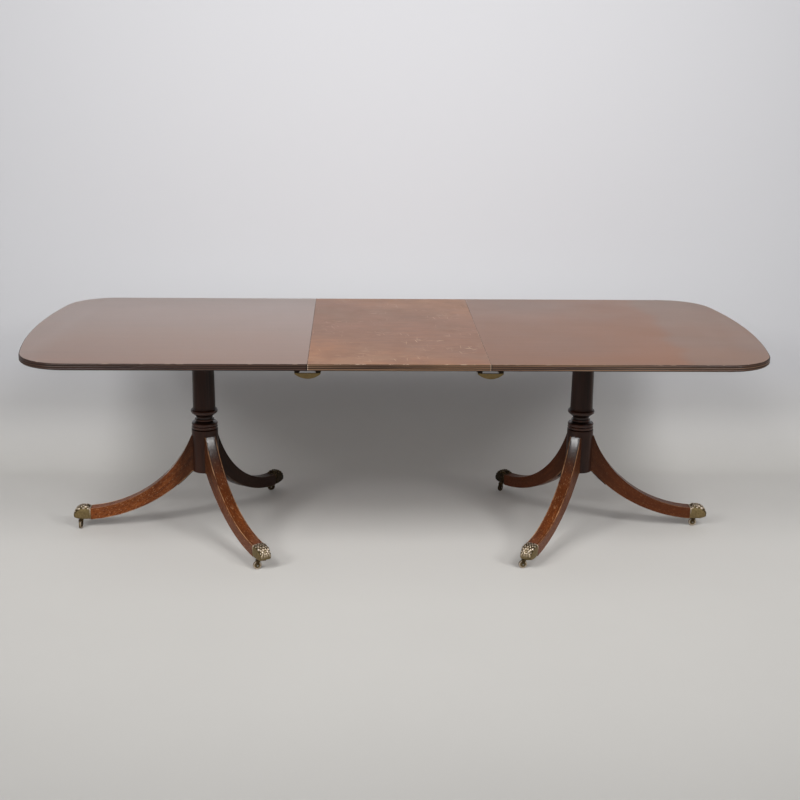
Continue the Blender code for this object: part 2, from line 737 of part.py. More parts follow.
def socket_mesh():
    """A flat sleeve about one prong, with its mouth at y = 0 and its middle at the prong's."""
    half_slot = (PRONG_WIDTH / 2 + CLEARANCE, PRONG_THICKNESS / 2 + CLEARANCE)
    half_body = (half_slot[0] + SOCKET_WALL, half_slot[1] + SOCKET_WALL)
    body = box("socket", (-half_body[0], 0, -half_body[1]), (half_body[0], SOCKET_LENGTH, half_body[1]))
    slot = box(
        "slot",
        (-half_slot[0], -SOCKET_LENGTH, -half_slot[1]),
        (half_slot[0], 2 * SOCKET_LENGTH, half_slot[1]),
    )
    return combined("clip_socket", body, [("DIFFERENCE", slot)])


# Assembly


def build_tops(materials, sides):
    end = top_mesh("end_top", end_outline, [SEAM])
    for side, frame in sides.items():
        place(side + "_top", end, materials["top"], frame)
    place("leaf", top_mesh("leaf", leaf_outline, [-SEAM, SEAM]), materials["leaf"], None)


def build_seams(materials, sides):
    """The tongues, clips and sockets along each seam. The left side is turned half round."""
    tongue = tongue_mesh()
    clip = clip_mesh()
    socket = socket_mesh()
    prong_middle = (PRONG_TOP + PRONG_BOTTOM) / 2
    clip_y = TABLE_WIDTH / 2 - CLIP_INSET
    socket_y = clip_y - CLIP_PLATE_THICKNESS - SOCKET_SETBACK
    for side, frame in sides.items():
        for edge in ("front", "rear"):
            toward = -1 if (edge == "front") == (side == "right") else 1
            turn = 0.0 if toward < 0 else math.pi
            name = f"{side}_{edge}_"
            middle = TABLE_HEIGHT - TOP_THICKNESS / 2
            tongue_place = (SEAM + GAP / 2, toward * TONGUE_SPACING / 2, middle)
            place(name + "tongue", tongue, materials["tongue"], frame, tongue_place)
            clip_place = (SEAM + GAP / 2, toward * clip_y, prong_middle)
            place(name + "clip", clip, materials["clip"], frame, clip_place, turn)
            for owner, across in (("leaf", -PRONG_SPACING / 2), ("end", PRONG_SPACING / 2)):
                socket_place = (SEAM + GAP / 2 + across, toward * socket_y, prong_middle)
                place(f"{name}{owner}_socket", socket, materials["socket"], frame, socket_place, turn)


def build_supports(materials, sides):
    bearer = bearer_mesh()
    block = block_mesh()
    pillar = pillar_mesh()
    tie_plate = tie_plate_mesh()
    offset = BLOCK_LENGTH / 2 + GAP + BEARER_WIDTH / 2
    pedestals = {}
    for side, frame in sides.items():
        pedestal = place_empty(side + "_pedestal", frame, (PILLAR_SPACING / 2, 0, 0))
        place(side + "_inner_bearer", bearer, materials["bearer"], pedestal, (-offset, 0, BLOCK_TOP))
        place(side + "_outer_bearer", bearer, materials["bearer"], pedestal, (offset, 0, BLOCK_TOP))
        place(side + "_pillar_block", block, materials["block"], pedestal)
        place(side + "_pillar", pillar, materials["pillar"], pedestal)
        place(side + "_tie_plate", tie_plate, materials["tie_plate"], pedestal)
        pedestals[side] = pedestal
    return pedestals


def build_legs(materials, pedestals):
    meshes = {
        "leg": leg_mesh(),
        "cap": cap_mesh(),
        "horn": horn_mesh(),
        "axle": axle_mesh(),
        "wheel": wheel_mesh(),
    }
    for side, pedestal in pedestals.items():
        for spot in LEG_TURN:
            # Half a turn of the left pedestal swaps its front and rear legs
            turn = LEG_TURN[spot] if side == "right" else -LEG_TURN[spot]
            name = f"{side}_{spot}"
            leg_frame = place_empty(name + "_leg_frame", pedestal, turn=turn)
            place(name + "_leg", meshes["leg"], materials["leg"], leg_frame)
            place(name + "_paw_cap", meshes["cap"], materials["cap"], leg_frame)
            heading = math.radians(CASTER_HEADING[name]) - SIDE_TURN[side] - turn
            caster = place_empty(name + "_caster", leg_frame, (LEG_SPREAD, 0, 0), heading)
            axle_place = (CASTER_TRAIL, 0, WHEEL_RADIUS)
            place(name + "_caster_horn", meshes["horn"], materials["horn"], caster)
            place(name + "_caster_axle", meshes["axle"], materials["axle"], caster, axle_place)
            place(name + "_caster_wheel", meshes["wheel"], materials["wheel"], caster, axle_place)


def main():
    clear_scene()
    materials = make_materials()
    sides = {side: place_empty(side + "_section", None, turn=turn) for side, turn in SIDE_TURN.items()}
    build_tops(materials, sides)
    build_seams(materials, sides)
    build_legs(materials, build_supports(materials, sides))


main()
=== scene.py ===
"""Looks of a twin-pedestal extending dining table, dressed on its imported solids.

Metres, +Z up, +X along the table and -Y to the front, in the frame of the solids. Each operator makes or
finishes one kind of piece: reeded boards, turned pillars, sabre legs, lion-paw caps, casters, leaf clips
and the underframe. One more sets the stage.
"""

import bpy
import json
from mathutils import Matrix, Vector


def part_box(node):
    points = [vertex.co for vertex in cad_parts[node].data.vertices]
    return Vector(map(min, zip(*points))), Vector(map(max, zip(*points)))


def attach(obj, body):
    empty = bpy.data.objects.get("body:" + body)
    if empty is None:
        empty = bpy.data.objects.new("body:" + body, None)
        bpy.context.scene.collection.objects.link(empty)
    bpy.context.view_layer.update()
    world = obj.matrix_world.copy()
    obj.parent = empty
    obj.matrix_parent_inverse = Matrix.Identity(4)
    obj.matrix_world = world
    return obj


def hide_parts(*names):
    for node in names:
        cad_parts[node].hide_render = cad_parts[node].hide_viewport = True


bl_info = {
    "name": "Twin-pedestal dining table",
    "version": (1, 0, 0),
    "blender": (4, 5, 0),
    "location": "View3D > Sidebar > Table",
    "description": "Dresses a twin-pedestal dining table in aged mahogany and brass",
    "category": "Object",
}

import json
import math

import bmesh
import bpy
from bmesh.types import BMFace, BMVert
from bpy.props import FloatProperty, FloatVectorProperty, IntProperty, PointerProperty
from mathutils import Matrix, Vector

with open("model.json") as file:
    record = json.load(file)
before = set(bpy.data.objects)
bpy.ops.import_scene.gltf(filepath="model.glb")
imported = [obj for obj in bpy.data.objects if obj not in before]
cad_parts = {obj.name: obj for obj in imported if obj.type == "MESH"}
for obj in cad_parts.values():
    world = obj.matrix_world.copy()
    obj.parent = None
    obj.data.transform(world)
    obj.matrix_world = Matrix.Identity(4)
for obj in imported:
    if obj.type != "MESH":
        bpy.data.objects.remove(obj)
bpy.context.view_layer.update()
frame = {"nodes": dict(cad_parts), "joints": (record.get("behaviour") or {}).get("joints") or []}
JOINTS = {joint["name"]: joint for joint in frame["joints"]}

# Names of the repeated places
SIDES = ("left", "right")
EDGES = ("front", "rear")
CORNERS = [f"{side}_{edge}" for side in SIDES for edge in EDGES]
FEET = [f"{side}_{spot}" for side in SIDES for spot in ("end", *EDGES)]
BODY = "table"

# Fineness of the curves
ARRIS_STEPS = 4
REED_STEPS = 12
CORNER_STEPS = 32
BOW_STEPS = 32
CURVE_STEPS = 10
PILLAR_STEPS = 72
LEG_STEPS = 56
WHEEL_STEPS = 48
PAW_STEPS = 84
PAW_POINTS = 120
PLATE_STEPS = 28
COVE_STEPS = 24
MERGE_DISTANCE = 1e-6
SHARP_ANGLE = math.radians(38)

# Gap between pieces that are fixed to each other
CLEARANCE = 0.0003


def linear(hex_colour):
    """An sRGB hex colour as linear red, green, blue and alpha."""
    channels = [int(hex_colour[start:start + 2], 16) / 255 for start in (1, 3, 5)]
    return (*[c / 12.92 if c <= 0.04045 else ((c + 0.055) / 1.055) ** 2.4 for c in channels], 1.0)


# Settings that a user would change


def amount(name, description, default, unit="NONE"):
    return FloatProperty(name=name, description=description, default=default, min=0.0, unit=unit)


def length(name, description, default):
    return amount(name, description, default, "LENGTH")


def angle(name, description, degrees):
    return FloatProperty(name=name, description=description, default=math.radians(degrees), unit="ROTATION")


def colour(name, description, hex_colour):
    return FloatVectorProperty(
        name=name,
        description=description,
        default=linear(hex_colour),
        size=4,
        min=0.0,
        max=1.0,
        subtype="COLOR",
    )


class TableSizes(bpy.types.PropertyGroup):
    """Sizes of the modelled pieces."""

    corner_radius: length("Corner radius", "Plan radius of the end sections' corners", 0.17)
    bow_radius: length("Bow radius", "Plan radius of the end sections' bowed ends", 2.0)
    reed_count: IntProperty(name="Reeds", description="Reeds along the edge of the tops", default=3, min=1)
    reed_depth: length("Reed depth", "How far the reeds stand out from their grooves", 0.003)
    edge_lip: length("Edge lip", "Plain strip above and below the reeds", 0.0014)
    arris_round: length("Arris", "Rounding of the tops' upper and lower arrises", 0.0007)
    seam_round: length("Seam arris", "Rounding of the tops' arrises along the seams", 0.0012)
    figure_start: length("Figure start", "Where the right-hand top's warm figure starts, along X", 0.48)
    figure_joint: length("Figure joint", "Where that figure ends at a veneer joint, along X", 0.916)
    leg_width: length("Leg width", "Width of the sabre legs", 0.042)
    leg_bead: length("Leg bead", "Width of the bead along each upper arris of a leg", 0.004)
    leg_panel_depth: length("Leg panel depth", "How far the panel lies below the leg's beads", 0.0009)
    lip_height: length("Lip height", "Height of the lip around the paw caps' collars", 0.002)
    curl_height: length("Curl height", "Height of the carved curls and toes on the paw caps", 0.0026)
    horn_round: length("Horn arris", "Rounding of the caster horns' edges", 0.0004)
    plate_round: length("Finger plate arris", "Rounding of the leaf clips' edges", 0.0009)


class TableColours(bpy.types.PropertyGroup):
    """Colours of the finishes."""

    top_dark: colour("Top, dark grain", "Dark grain of the polished tops", "#5e3c27")
    top_light: colour("Top, light grain", "Light grain of the polished tops", "#724a31")
    # Grey bloom of old polish; on the left-hand top it also paints a sheen
    top_haze_and_sheen: colour("Top, haze", "Greyed patches in the polish", "#766357")
    top_warm: colour("Top, warm figure", "Warm figure across the right-hand top", "#784826")
    leaf_dark: colour("Leaf, dark grain", "Dark grain of the faded leaf", "#6f4c3a")
    leaf_light: colour("Leaf, light grain", "Light grain of the faded leaf", "#8a5f46")
    leaf_warm: colour("Leaf, warm corners", "Warm polish at two corners of the leaf", "#97653d")
    leaf_bloom: colour("Leaf, bloom", "Greenish grey bloom on the leaf", "#7a6a60")
    scratch: colour("Scratches", "Bare wood in scratches and chips", "#d9c0a8")
    edge_dark: colour("Edge, grooves", "Dirt in the grooves of the reeded edge", "#100907")
    edge_light: colour("Edge, reeds", "Crests of the reeded edge", "#351f17")
    edge_worn: colour("Edge, worn reeds", "Crests of the leaf's handled edge", "#4b3527")
    # Also painted onto the legs as shade near the hub, and as the ground of the shaded left-hand rear leg
    pillar_dark: colour("Pillar, dark", "Dark grain of the pillars", "#1b0f0a")
    pillar_light: colour("Pillar, light", "Light grain of the pillars", "#472619")
    leg_dark: colour("Leg, dark grain", "Dark grain of the legs", "#43200f")
    leg_light: colour("Leg, light grain", "Light grain of the legs", "#7f441f")
    # Also the paler crest lines of the reeded edges, partly painted highlight on the right-hand edge
    wear_and_highlight: colour("Leg, wear", "Bare wood along the legs' arrises", "#c69a72")
    plain_dark: colour("Underframe, dark", "Dark grain of the unpolished wood", "#4a2c1c")
    plain_light: colour("Underframe, light", "Light grain of the unpolished wood", "#7b5137")
    beech_dark: colour("Tongue, dark", "Dark fleck of the beech tongues", "#9a7750")
    beech_light: colour("Tongue, light", "Pale ground of the beech tongues", "#c6a477")
    # Also the ground of the rear paws and wheels and a layer on the horns, where it is painted shade
    brass_black: colour("Brass, hollows", "Black grime in the hollows of the brass", "#221b14")
    # Also the rubbed colour of the rear paws and wheels and the ground of the horns, where it is painted
    # shade
    brass_dark: colour("Brass, tarnish", "Brown tarnish on the brass", "#594a33")
    brass_olive: colour("Brass, plain", "Dull olive of untouched brass", "#8d7b56")
    brass_bright: colour("Brass, rubbed", "Pale brass where it is rubbed", "#dccdbf")
    clip_plate: colour("Clip, plate", "Olive brown of the clips' finger plates", "#7b6946")
    # Painted shade: the prongs are coloured near black because they lie in shadow under the table's edge
    clip_prong_shade: colour("Clip, prongs", "Blackened prongs of the clips", "#1d1812")
    iron: colour("Iron", "Blackened iron", "#2b2a29")
    steel: colour("Steel", "Bare steel of the axles", "#8f8b84")


class StageSettings(bpy.types.PropertyGroup):
    """Floor, light and camera."""

    floor: colour("Floor", "Pale studio floor", "#c5c3bf")
    wall: colour("Backdrop", "Cool pale backdrop", "#b9b9bc")
    world: amount("Fill", "Strength of the even fill light", 0.54)
    key_power: amount("Keys", "Power of each high key light", 29.5, "POWER")
    softbox_power: amount("Softboxes", "Power of each low softbox", 15.0, "POWER")
    lens: amount("Lens", "Focal length of the camera", 59.17, "CAMERA")
    camera_place: FloatVectorProperty(
        name="Camera",
        description="Place of the camera",
        default=(-0.1448, -4.4966, 1.7613),
        subtype="TRANSLATION",
    )
    camera_yaw: angle("Yaw", "Turn of the camera to the right", 2.124)
    camera_pitch: angle("Pitch", "Tilt of the camera down to the table", 15.915)
    camera_roll: angle("Roll", "Lean of the camera", 0.687)


# Small shape helpers


def arc(start, end, sag, steps):
    """Points on the arc from start to end that lies sag to the right of the straight way there."""
    start = Vector(start)
    end = Vector(end)
    along = end - start
    half = along.length / 2
    radius = (half**2 + sag**2) / (2 * sag)
    left = Vector((-along.y, along.x)).normalized()
    centre = (start + end) / 2 + left * (radius - sag)
    first = math.atan2(start.y - centre.y, start.x - centre.x)
    sweep = 2 * math.asin(half / radius)
    angles = [first + sweep * step / steps for step in range(steps + 1)]
    return [centre + radius * Vector((math.cos(a), math.sin(a))) for a in angles]


def ease(value, low, high):
    """A smooth step from 0 at low to 1 at high."""
    share = min(max((value - low) / (high - low), 0.0), 1.0)
    return share * share * (3 - 2 * share)


def only(kind, geom):
    """The vertices or the faces among mixed geometry."""
    return [item for item in geom if isinstance(item, kind)]


def lies_at(item, axis, value):
    return all(abs(vert.co[axis] - value) < MERGE_DISTANCE for vert in item.verts)


def worn_bmesh():
    """An empty bmesh with the wear and dirt layers that the finishes read."""
    bm = bmesh.new()
    for name in ("wear", "dirt"):
        bm.verts.layers.float.new(name)
    return bm


def mark_row(bm, row, points):
    """Gives a row of vertices the wear and dirt that stand last in each of its points."""
    wear = bm.verts.layers.float["wear"]
    dirt = bm.verts.layers.float["dirt"]
    for vert, (*_, worn, dirty) in zip(row, points):
        vert[wear] = worn
        vert[dirt] = dirty


def chain(bm, points, closed=False):
    """Vertices at the points, joined in a row."""
    verts = [bm.verts.new(point) for point in points]
    following = verts[1:] + verts[:1] if closed else verts[1:]
    for vert, after in zip(verts, following):
        bm.edges.new((vert, after))
    return verts


def extrude_row(bm, row, points, closed=False):
    """Extrudes a row of vertices to new points and returns the new row in the same order."""
    following = row[1:] + row[:1] if closed else row[1:]
    edges = [bm.edges.get(pair) for pair in zip(row, following)]
    fresh = set(only(BMVert, bmesh.ops.extrude_edge_only(bm, edges=edges)["geom"]))
    moved = []
    for vert, point in zip(row, points):
        partner = next(e.other_vert(vert) for e in vert.link_edges if e.other_vert(vert) in fresh)
        partner.co = point
        moved.append(partner)
    return moved


def next_ring(bm, ring, points):
    """Carries a tube on to its next ring of points, or starts it where there is no ring yet."""
    if ring is None:
        return chain(bm, points, closed=True)
    return extrude_row(bm, ring, points, closed=True)


def draw_out(bm, faces, way):
    """Extrudes faces along a vector, keeps the old ones and returns the new ones."""
    made = bmesh.ops.extrude_face_region(bm, geom=faces, use_keep_orig=True)["geom"]
    bmesh.ops.translate(bm, verts=only(BMVert, made), vec=way)
    return only(BMFace, made)


def turn_profile(profile, steps):
    """Turns a profile of (radius, height, wear, dirt) points about the Z axis."""
    bm = worn_bmesh()
    row = chain(bm, [(radius, 0, height) for radius, height, _, _ in profile])
    mark_row(bm, row, profile)
    bmesh.ops.spin(
        bm,
        geom=row + bm.edges[:],
        cent=(0, 0, 0),
        axis=(0, 0, 1),
        angle=2 * math.pi,
        steps=steps,
        use_merge=True,
    )
    return bm


def fill_loop(bm, edges):
    return bmesh.ops.edgeloop_fill(bm, edges=edges)["faces"]


def close_tube(bm, axis, start):
    """Closes a tube at its start, which lies at one value of an axis, and then at its other end."""
    fill_loop(bm, [edge for edge in bm.edges if edge.is_boundary and lies_at(edge, axis, start)])
    fill_loop(bm, [edge for edge in bm.edges if edge.is_boundary])


def sharp_edges(bm):
    return [edge for edge in bm.edges if edge.calc_face_angle(0) > SHARP_ANGLE]


def soften(bm, edges, width, segments):
    bmesh.ops.bevel(
        bm, geom=edges, offset=width, affect="EDGES", segments=segments, profile=0.5, material=-1
    )


def face_out(bm):
    bmesh.ops.remove_doubles(bm, verts=bm.verts, dist=MERGE_DISTANCE)
    bmesh.ops.recalc_face_normals(bm, faces=bm.faces)


def make_object(name, bm, materials):
    """Turns a bmesh into a smooth object with its finishes."""
    mesh = bpy.data.meshes.new(name)
    bm.to_mesh(mesh)
    bm.free()
    mesh.shade_smooth()
    for material in materials:
        mesh.materials.append(material)
    made = bpy.data.objects.new(name, mesh)
    bpy.context.scene.collection.objects.link(made)
    return made


def finish_piece(name, bm, body, node, materials):
    """Makes the piece that stands for a node, which it hides; the piece rides on its body and takes its
    finishes.
    """
    face_out(bm)
    piece = make_object(name, bm, materials)
    piece.data.set_sharp_from_angle(angle=SHARP_ANGLE)
    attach(piece, body)
    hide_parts(node)


def dress(node, material):
    """Gives a solid that keeps its shape a better finish."""
    mesh = frame["nodes"][node].data
    mesh.materials.clear()
    mesh.materials.append(material)


def pillar_foot(side):
    """Where a pillar's axis meets the floor."""
    low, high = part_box(side + "_pillar")
    return Vector(((low.x + high.x) / 2, (low.y + high.y) / 2, 0))


# Node helpers


def fill(tree, node, inputs):
    """Sets or links the inputs of a node. A node given as a value links its first output in use."""
    for name, value in inputs.items():
        if isinstance(value, bpy.types.Node):
            value = next(output for output in value.outputs if output.enabled)
        if isinstance(value, bpy.types.NodeSocket):
            tree.links.new(value, node.inputs[name])
        else:
            node.inputs[name].default_value = value


def add(tree, kind, inputs=None, **settings):
    """Adds a node with its settings, and fills or links its inputs."""
    node = tree.nodes.new(kind)
    for name, value in settings.items():
        setattr(node, name, value)
    fill(tree, node, inputs or {})
    return node


def new_material(name, sockets):
    """A material, its tree, its one shader with plain sockets set, and the place that patterns read."""
    material = bpy.data.materials.new(name)
    material.use_nodes = True
    tree = material.node_tree
    shader = tree.nodes["Principled BSDF"]
    fill(tree, shader, sockets)
    return material, tree, shader, add(tree, "ShaderNodeTexCoord").outputs["Object"]


def pattern(tree, place, size, low=0.35, high=0.65, shift=(0, 0, 0)):
    """Soft noise of a size in millimetres along each axis, spread from 0 at low to 1 at high."""
    scale = [1000 / millimetres for millimetres in size]
    scaled = add(tree, "ShaderNodeMapping", {"Vector": place, "Location": shift, "Scale": scale})
    noise = add(tree, "ShaderNodeTexNoise", {"Vector": scaled, "Scale": 1.0, "Detail": 4.0})
    return add(tree, "ShaderNodeMapRange", {"Value": noise, "From Min": low, "From Max": high})


def layered(tree, ground, *layers):
    """A colour with further colours laid over it, each by its pattern and its strength."""
    for factor, strength, over in layers:
        share = add(tree, "ShaderNodeMath", {0: factor, 1: strength}, operation="MULTIPLY")
        mixed = add(tree, "ShaderNodeMix", {0: share, 6: ground, 7: over}, data_type="RGBA")
        ground = mixed.outputs[2]
    return ground


def surface(tree, shader, base, shine, relief=None):
    """Links a shader's base colour, its roughness and its relief.

    Shine is a pattern and the roughness at its 0 and 1. Relief is a pattern, its strength and its depth."""
    spread, low, high = shine
    roughness = add(tree, "ShaderNodeMapRange", {"Value": spread, "To Min": low, "To Max": high})
    fill(tree, shader, {"Base Color": base, "Roughness": roughness})
    if relief:
        height, strength, depth = relief
        bump = add(tree, "ShaderNodeBump", {"Height": height, "Strength": strength, "Distance": depth})
        fill(tree, shader, {"Normal": bump})


# Finishes


def scratches(tree, place, degrees, size, width):
    """Fine straight scratches of a length, spacing and width in millimetres, in one direction."""
    reach, spacing = size
    turned = add(tree, "ShaderNodeMapping", {"Vector": place, "Rotation": (0, 0, math.radians(degrees))})
    scale = (1000 / reach, 1000 / spacing, 1.0)
    scaled = add(tree, "ShaderNodeMapping", {"Vector": turned, "Scale": scale})
    cells = add(tree, "ShaderNodeTexVoronoi", {"Vector": scaled, "Scale": 1.0}, voronoi_dimensions="2D")
    middle = cells.outputs["Position"]
    away = add(tree, "ShaderNodeVectorMath", {0: scaled, 1: middle}, operation="SUBTRACT")
    parts = add(tree, "ShaderNodeSeparateXYZ", {0: away})
    # Only some of the cells hold a scratch, and each has its own depth
    chance = {"Value": cells.outputs["Color"], "From Min": 0.55, "From Max": 0.9}
    mark = add(tree, "ShaderNodeMapRange", chance)
    for axis, inner, outer in ((0, 0.15, 0.4), (1, 0.2 * width / spacing, width / spacing)):
        off = add(tree, "ShaderNodeMath", {0: parts.outputs[axis]}, operation="ABSOLUTE")
        fade = {"Value": off, "From Min": inner, "From Max": outer, "To Min": 1.0, "To Max": 0.0}
        near = add(tree, "ShaderNodeMapRange", fade)
        mark = add(tree, "ShaderNodeMath", {0: near, 1: mark}, operation="MULTIPLY")
    return mark


def warm_band(tree, place, start, joint):
    """A warm figure that grows along X from start to a soft line, and the board beyond that line."""
    # The line is blurred, and wanders a few centimetres to either side across the board
    blur, swing = 0.045, 0.035
    straight = add(tree, "ShaderNodeSeparateXYZ", {0: place}).outputs[0]
    wander = {"Value": pattern(tree, place, (500, 160, 160), 0.3, 0.7), "To Min": -swing, "To Max": swing}
    sway = add(tree, "ShaderNodeMapRange", wander)
    along = add(tree, "ShaderNodeMath", {0: straight, 1: sway}, operation="ADD")
    rise = {"Value": along, "From Min": start, "From Max": joint}
    growing = add(tree, "ShaderNodeMapRange", rise, interpolation_type="SMOOTHSTEP")
    beyond = add(tree, "ShaderNodeMapRange", {"Value": along, "From Min": joint, "From Max": joint + blur})
    band = add(tree, "ShaderNodeMath", {0: growing, 1: beyond}, operation="SUBTRACT", use_clamp=True)
    return band, beyond


def polished_mahogany(name, colours, sizes, coat, haze_and_sheen_share, warm_share):
    """French-polished mahogany: close straight grain under old shellac, which gives a hazy, even shine."""
    material, tree, shader, place = new_material(
        name, {"IOR": 1.5, "Coat Weight": coat, "Coat Roughness": 0.3, "Coat IOR": 1.5}
    )
    # Grain lines lie about 2 mm apart on the real board and are drawn coarser to show
    grain = pattern(tree, place, (520, 11, 11))
    broad = pattern(tree, place, (500, 260, 260), 0.3, 0.7)
    haze = pattern(tree, place, (380, 300, 300), 0.3, 0.75)
    band, beyond = warm_band(tree, place, sizes.figure_start, sizes.figure_joint)
    wood = layered(
        tree,
        colours.top_dark,
        (grain, 0.6, colours.top_light),
        # Grey bloom in the polish, which on the left-hand top also paints its sheen
        (haze, haze_and_sheen_share, colours.top_haze_and_sheen),
        (broad, warm_share, colours.top_warm),
        (band, warm_share, colours.top_warm),
        (beyond, 0.3, colours.top_haze_and_sheen),
    )
    # The pores are finer than a millimetre and only take the edge off the shine
    pores = pattern(tree, place, (14, 1.2, 1.2), 0.5, 0.7)
    surface(tree, shader, wood, (haze, 0.33, 0.43), (pores, 0.08, 0.0002))
    return material


def faded_mahogany(colours):
    """The leaf's faded mahogany: thin, dry polish, blotched with bloom and scratched to bare wood."""
    polish = {"IOR": 1.5, "Specular IOR Level": 0.4, "Coat Weight": 0.05, "Coat Roughness": 0.4}
    material, tree, shader, place = new_material("faded_mahogany", polish)
    grain = pattern(tree, place, (170, 13, 13))
    bloom = pattern(tree, place, (210, 170, 170), 0.4, 0.62, (0.4, 0.1, 0))
    blotch = pattern(tree, place, (60, 55, 55), 0.42, 0.68)
    # The polish is warmest at two opposite corners, across the board's diagonal
    diagonal = add(tree, "ShaderNodeVectorMath", {0: place, 1: (0.54, 0.84, 0)}, operation="DOT_PRODUCT")
    off = add(tree, "ShaderNodeMath", {0: diagonal.outputs["Value"]}, operation="ABSOLUTE")
    warm = add(tree, "ShaderNodeMapRange", {"Value": off, "From Min": 0.2, "From Max": 0.46})
    # Real scratches are about 0.5 mm wide and are drawn wider to show
    marks = scratches(tree, place, 5, (38, 34), 4.0)
    for degrees, size in ((78, (56, 26)), (-42, (32, 30)), (-88, (70, 36)), (38, (34, 30))):
        more = scratches(tree, place, degrees, size, 1.8)
        marks = add(tree, "ShaderNodeMath", {0: marks, 1: more}, operation="MAXIMUM")
    clusters = pattern(tree, place, (110, 110, 110), 0.5, 0.68)
    marks = add(tree, "ShaderNodeMath", {0: marks, 1: clusters}, operation="MULTIPLY")
    wood = layered(
        tree,
        colours.leaf_dark,
        (grain, 0.5, colours.leaf_light),
        (warm, 0.55, colours.leaf_warm),
        (bloom, 0.4, colours.leaf_bloom),
        (blotch, 0.6, colours.leaf_dark),
        (marks, 0.55, colours.scratch),
    )
    surface(tree, shader, wood, (bloom, 0.42, 0.55), (marks, 0.15, -0.0003))
    return material


def reeded_edge(name, colours, ground, rubbing_and_highlight, chips, corner):
    """A dark, handled edge: dirt packed in the grooves, crest lines rubbed paler and partly painted as
    highlight, chips down to bare wood.

    Corner gives the width and colour of the worn strips at the seams."""
    material, tree, shader, place = new_material(
        name, {"IOR": 1.5, "Specular IOR Level": 0.15, "Coat Weight": 0.3, "Coat Roughness": 0.2}
    )
    _, leaf_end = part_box("leaf")
    corner_width, corner_colour = corner
    along = add(tree, "ShaderNodeSeparateXYZ", {0: place}).outputs[0]
    off_middle = add(tree, "ShaderNodeMath", {0: along}, operation="ABSOLUTE")
    at_seam = {0: off_middle, 1: leaf_end.x, 2: corner_width}
    strip = add(tree, "ShaderNodeMath", at_seam, operation="COMPARE")
    grain = pattern(tree, place, (80, 80, 5))
    rubbed = pattern(tree, place, (420, 420, 8), 0.35, 0.7)
    chipped = pattern(tree, place, (22, 22, 6), 0.56, 0.64)
    wear = add(tree, "ShaderNodeAttribute", attribute_name="wear").outputs["Fac"]
    dirt = add(tree, "ShaderNodeAttribute", attribute_name="dirt").outputs["Fac"]
    # Paler crest lines: real wear, and on the right-hand edge also a painted highlight along the reeds
    rub = add(tree, "ShaderNodeMath", {0: wear, 1: rubbed}, operation="MULTIPLY")
    # Only the upper arris is knocked hard enough to chip
    arris = add(tree, "ShaderNodeMapRange", {"Value": wear, "From Min": 0.6, "From Max": 1.0})
    chip = add(tree, "ShaderNodeMath", {0: arris, 1: chipped}, operation="MULTIPLY")
    wood = layered(
        tree,
        ground,
        (grain, 0.45, colours.edge_dark),
        (rub, rubbing_and_highlight, colours.wear_and_highlight),
        (strip, 0.6, corner_colour),
        (dirt, 1.0, colours.edge_dark),
        (chip, chips, colours.scratch),
    )
    surface(tree, shader, wood, (grain, 0.4, 0.55))
    return material


def sawn_mahogany(name, colours, size):
    """Unpolished mahogany as it came from the plane: dry, open grain along the piece."""
    material, tree, shader, place = new_material(name, {"IOR": 1.45, "Specular IOR Level": 0.3})
    grain = pattern(tree, place, size)
    stain = pattern(tree, place, (120, 120, 60), 0.45, 0.75)
    wood = layered(
        tree, colours.plain_dark, (grain, 1.0, colours.plain_light), (stain, 0.5, colours.plain_dark)
    )
    surface(tree, shader, wood, (grain, 0.6, 0.75), (grain, 0.2, 0.0004))
    return material


def turned_mahogany(name, colours, coat, redness):
    """Dark stained turning: upright grain under old polish, with dirt in the quirks between the rings."""
    material, tree, shader, place = new_material(
        name, {"IOR": 1.5, "Specular IOR Level": 0.12, "Coat Weight": coat, "Coat Roughness": 0.06}
    )
    grain = pattern(tree, place, (7, 7, 260))
    red = pattern(tree, place, (60, 60, 400), 0.4, 0.7)
    bare = pattern(tree, place, (16, 16, 8), 0.45, 0.65)
    wear = add(tree, "ShaderNodeAttribute", attribute_name="wear").outputs["Fac"]
    dirt = add(tree, "ShaderNodeAttribute", attribute_name="dirt").outputs["Fac"]
    rub = add(tree, "ShaderNodeMath", {0: wear, 1: bare}, operation="MULTIPLY")
    wood = layered(
        tree,
        colours.pillar_dark,
        (grain, 0.2, colours.pillar_light),
        (red, redness, colours.pillar_light),
        (rub, redness, colours.leg_dark),
        (dirt, 1.0, colours.edge_dark),
    )
    surface(tree, shader, wood, (grain, 0.3, 0.4))
    return material


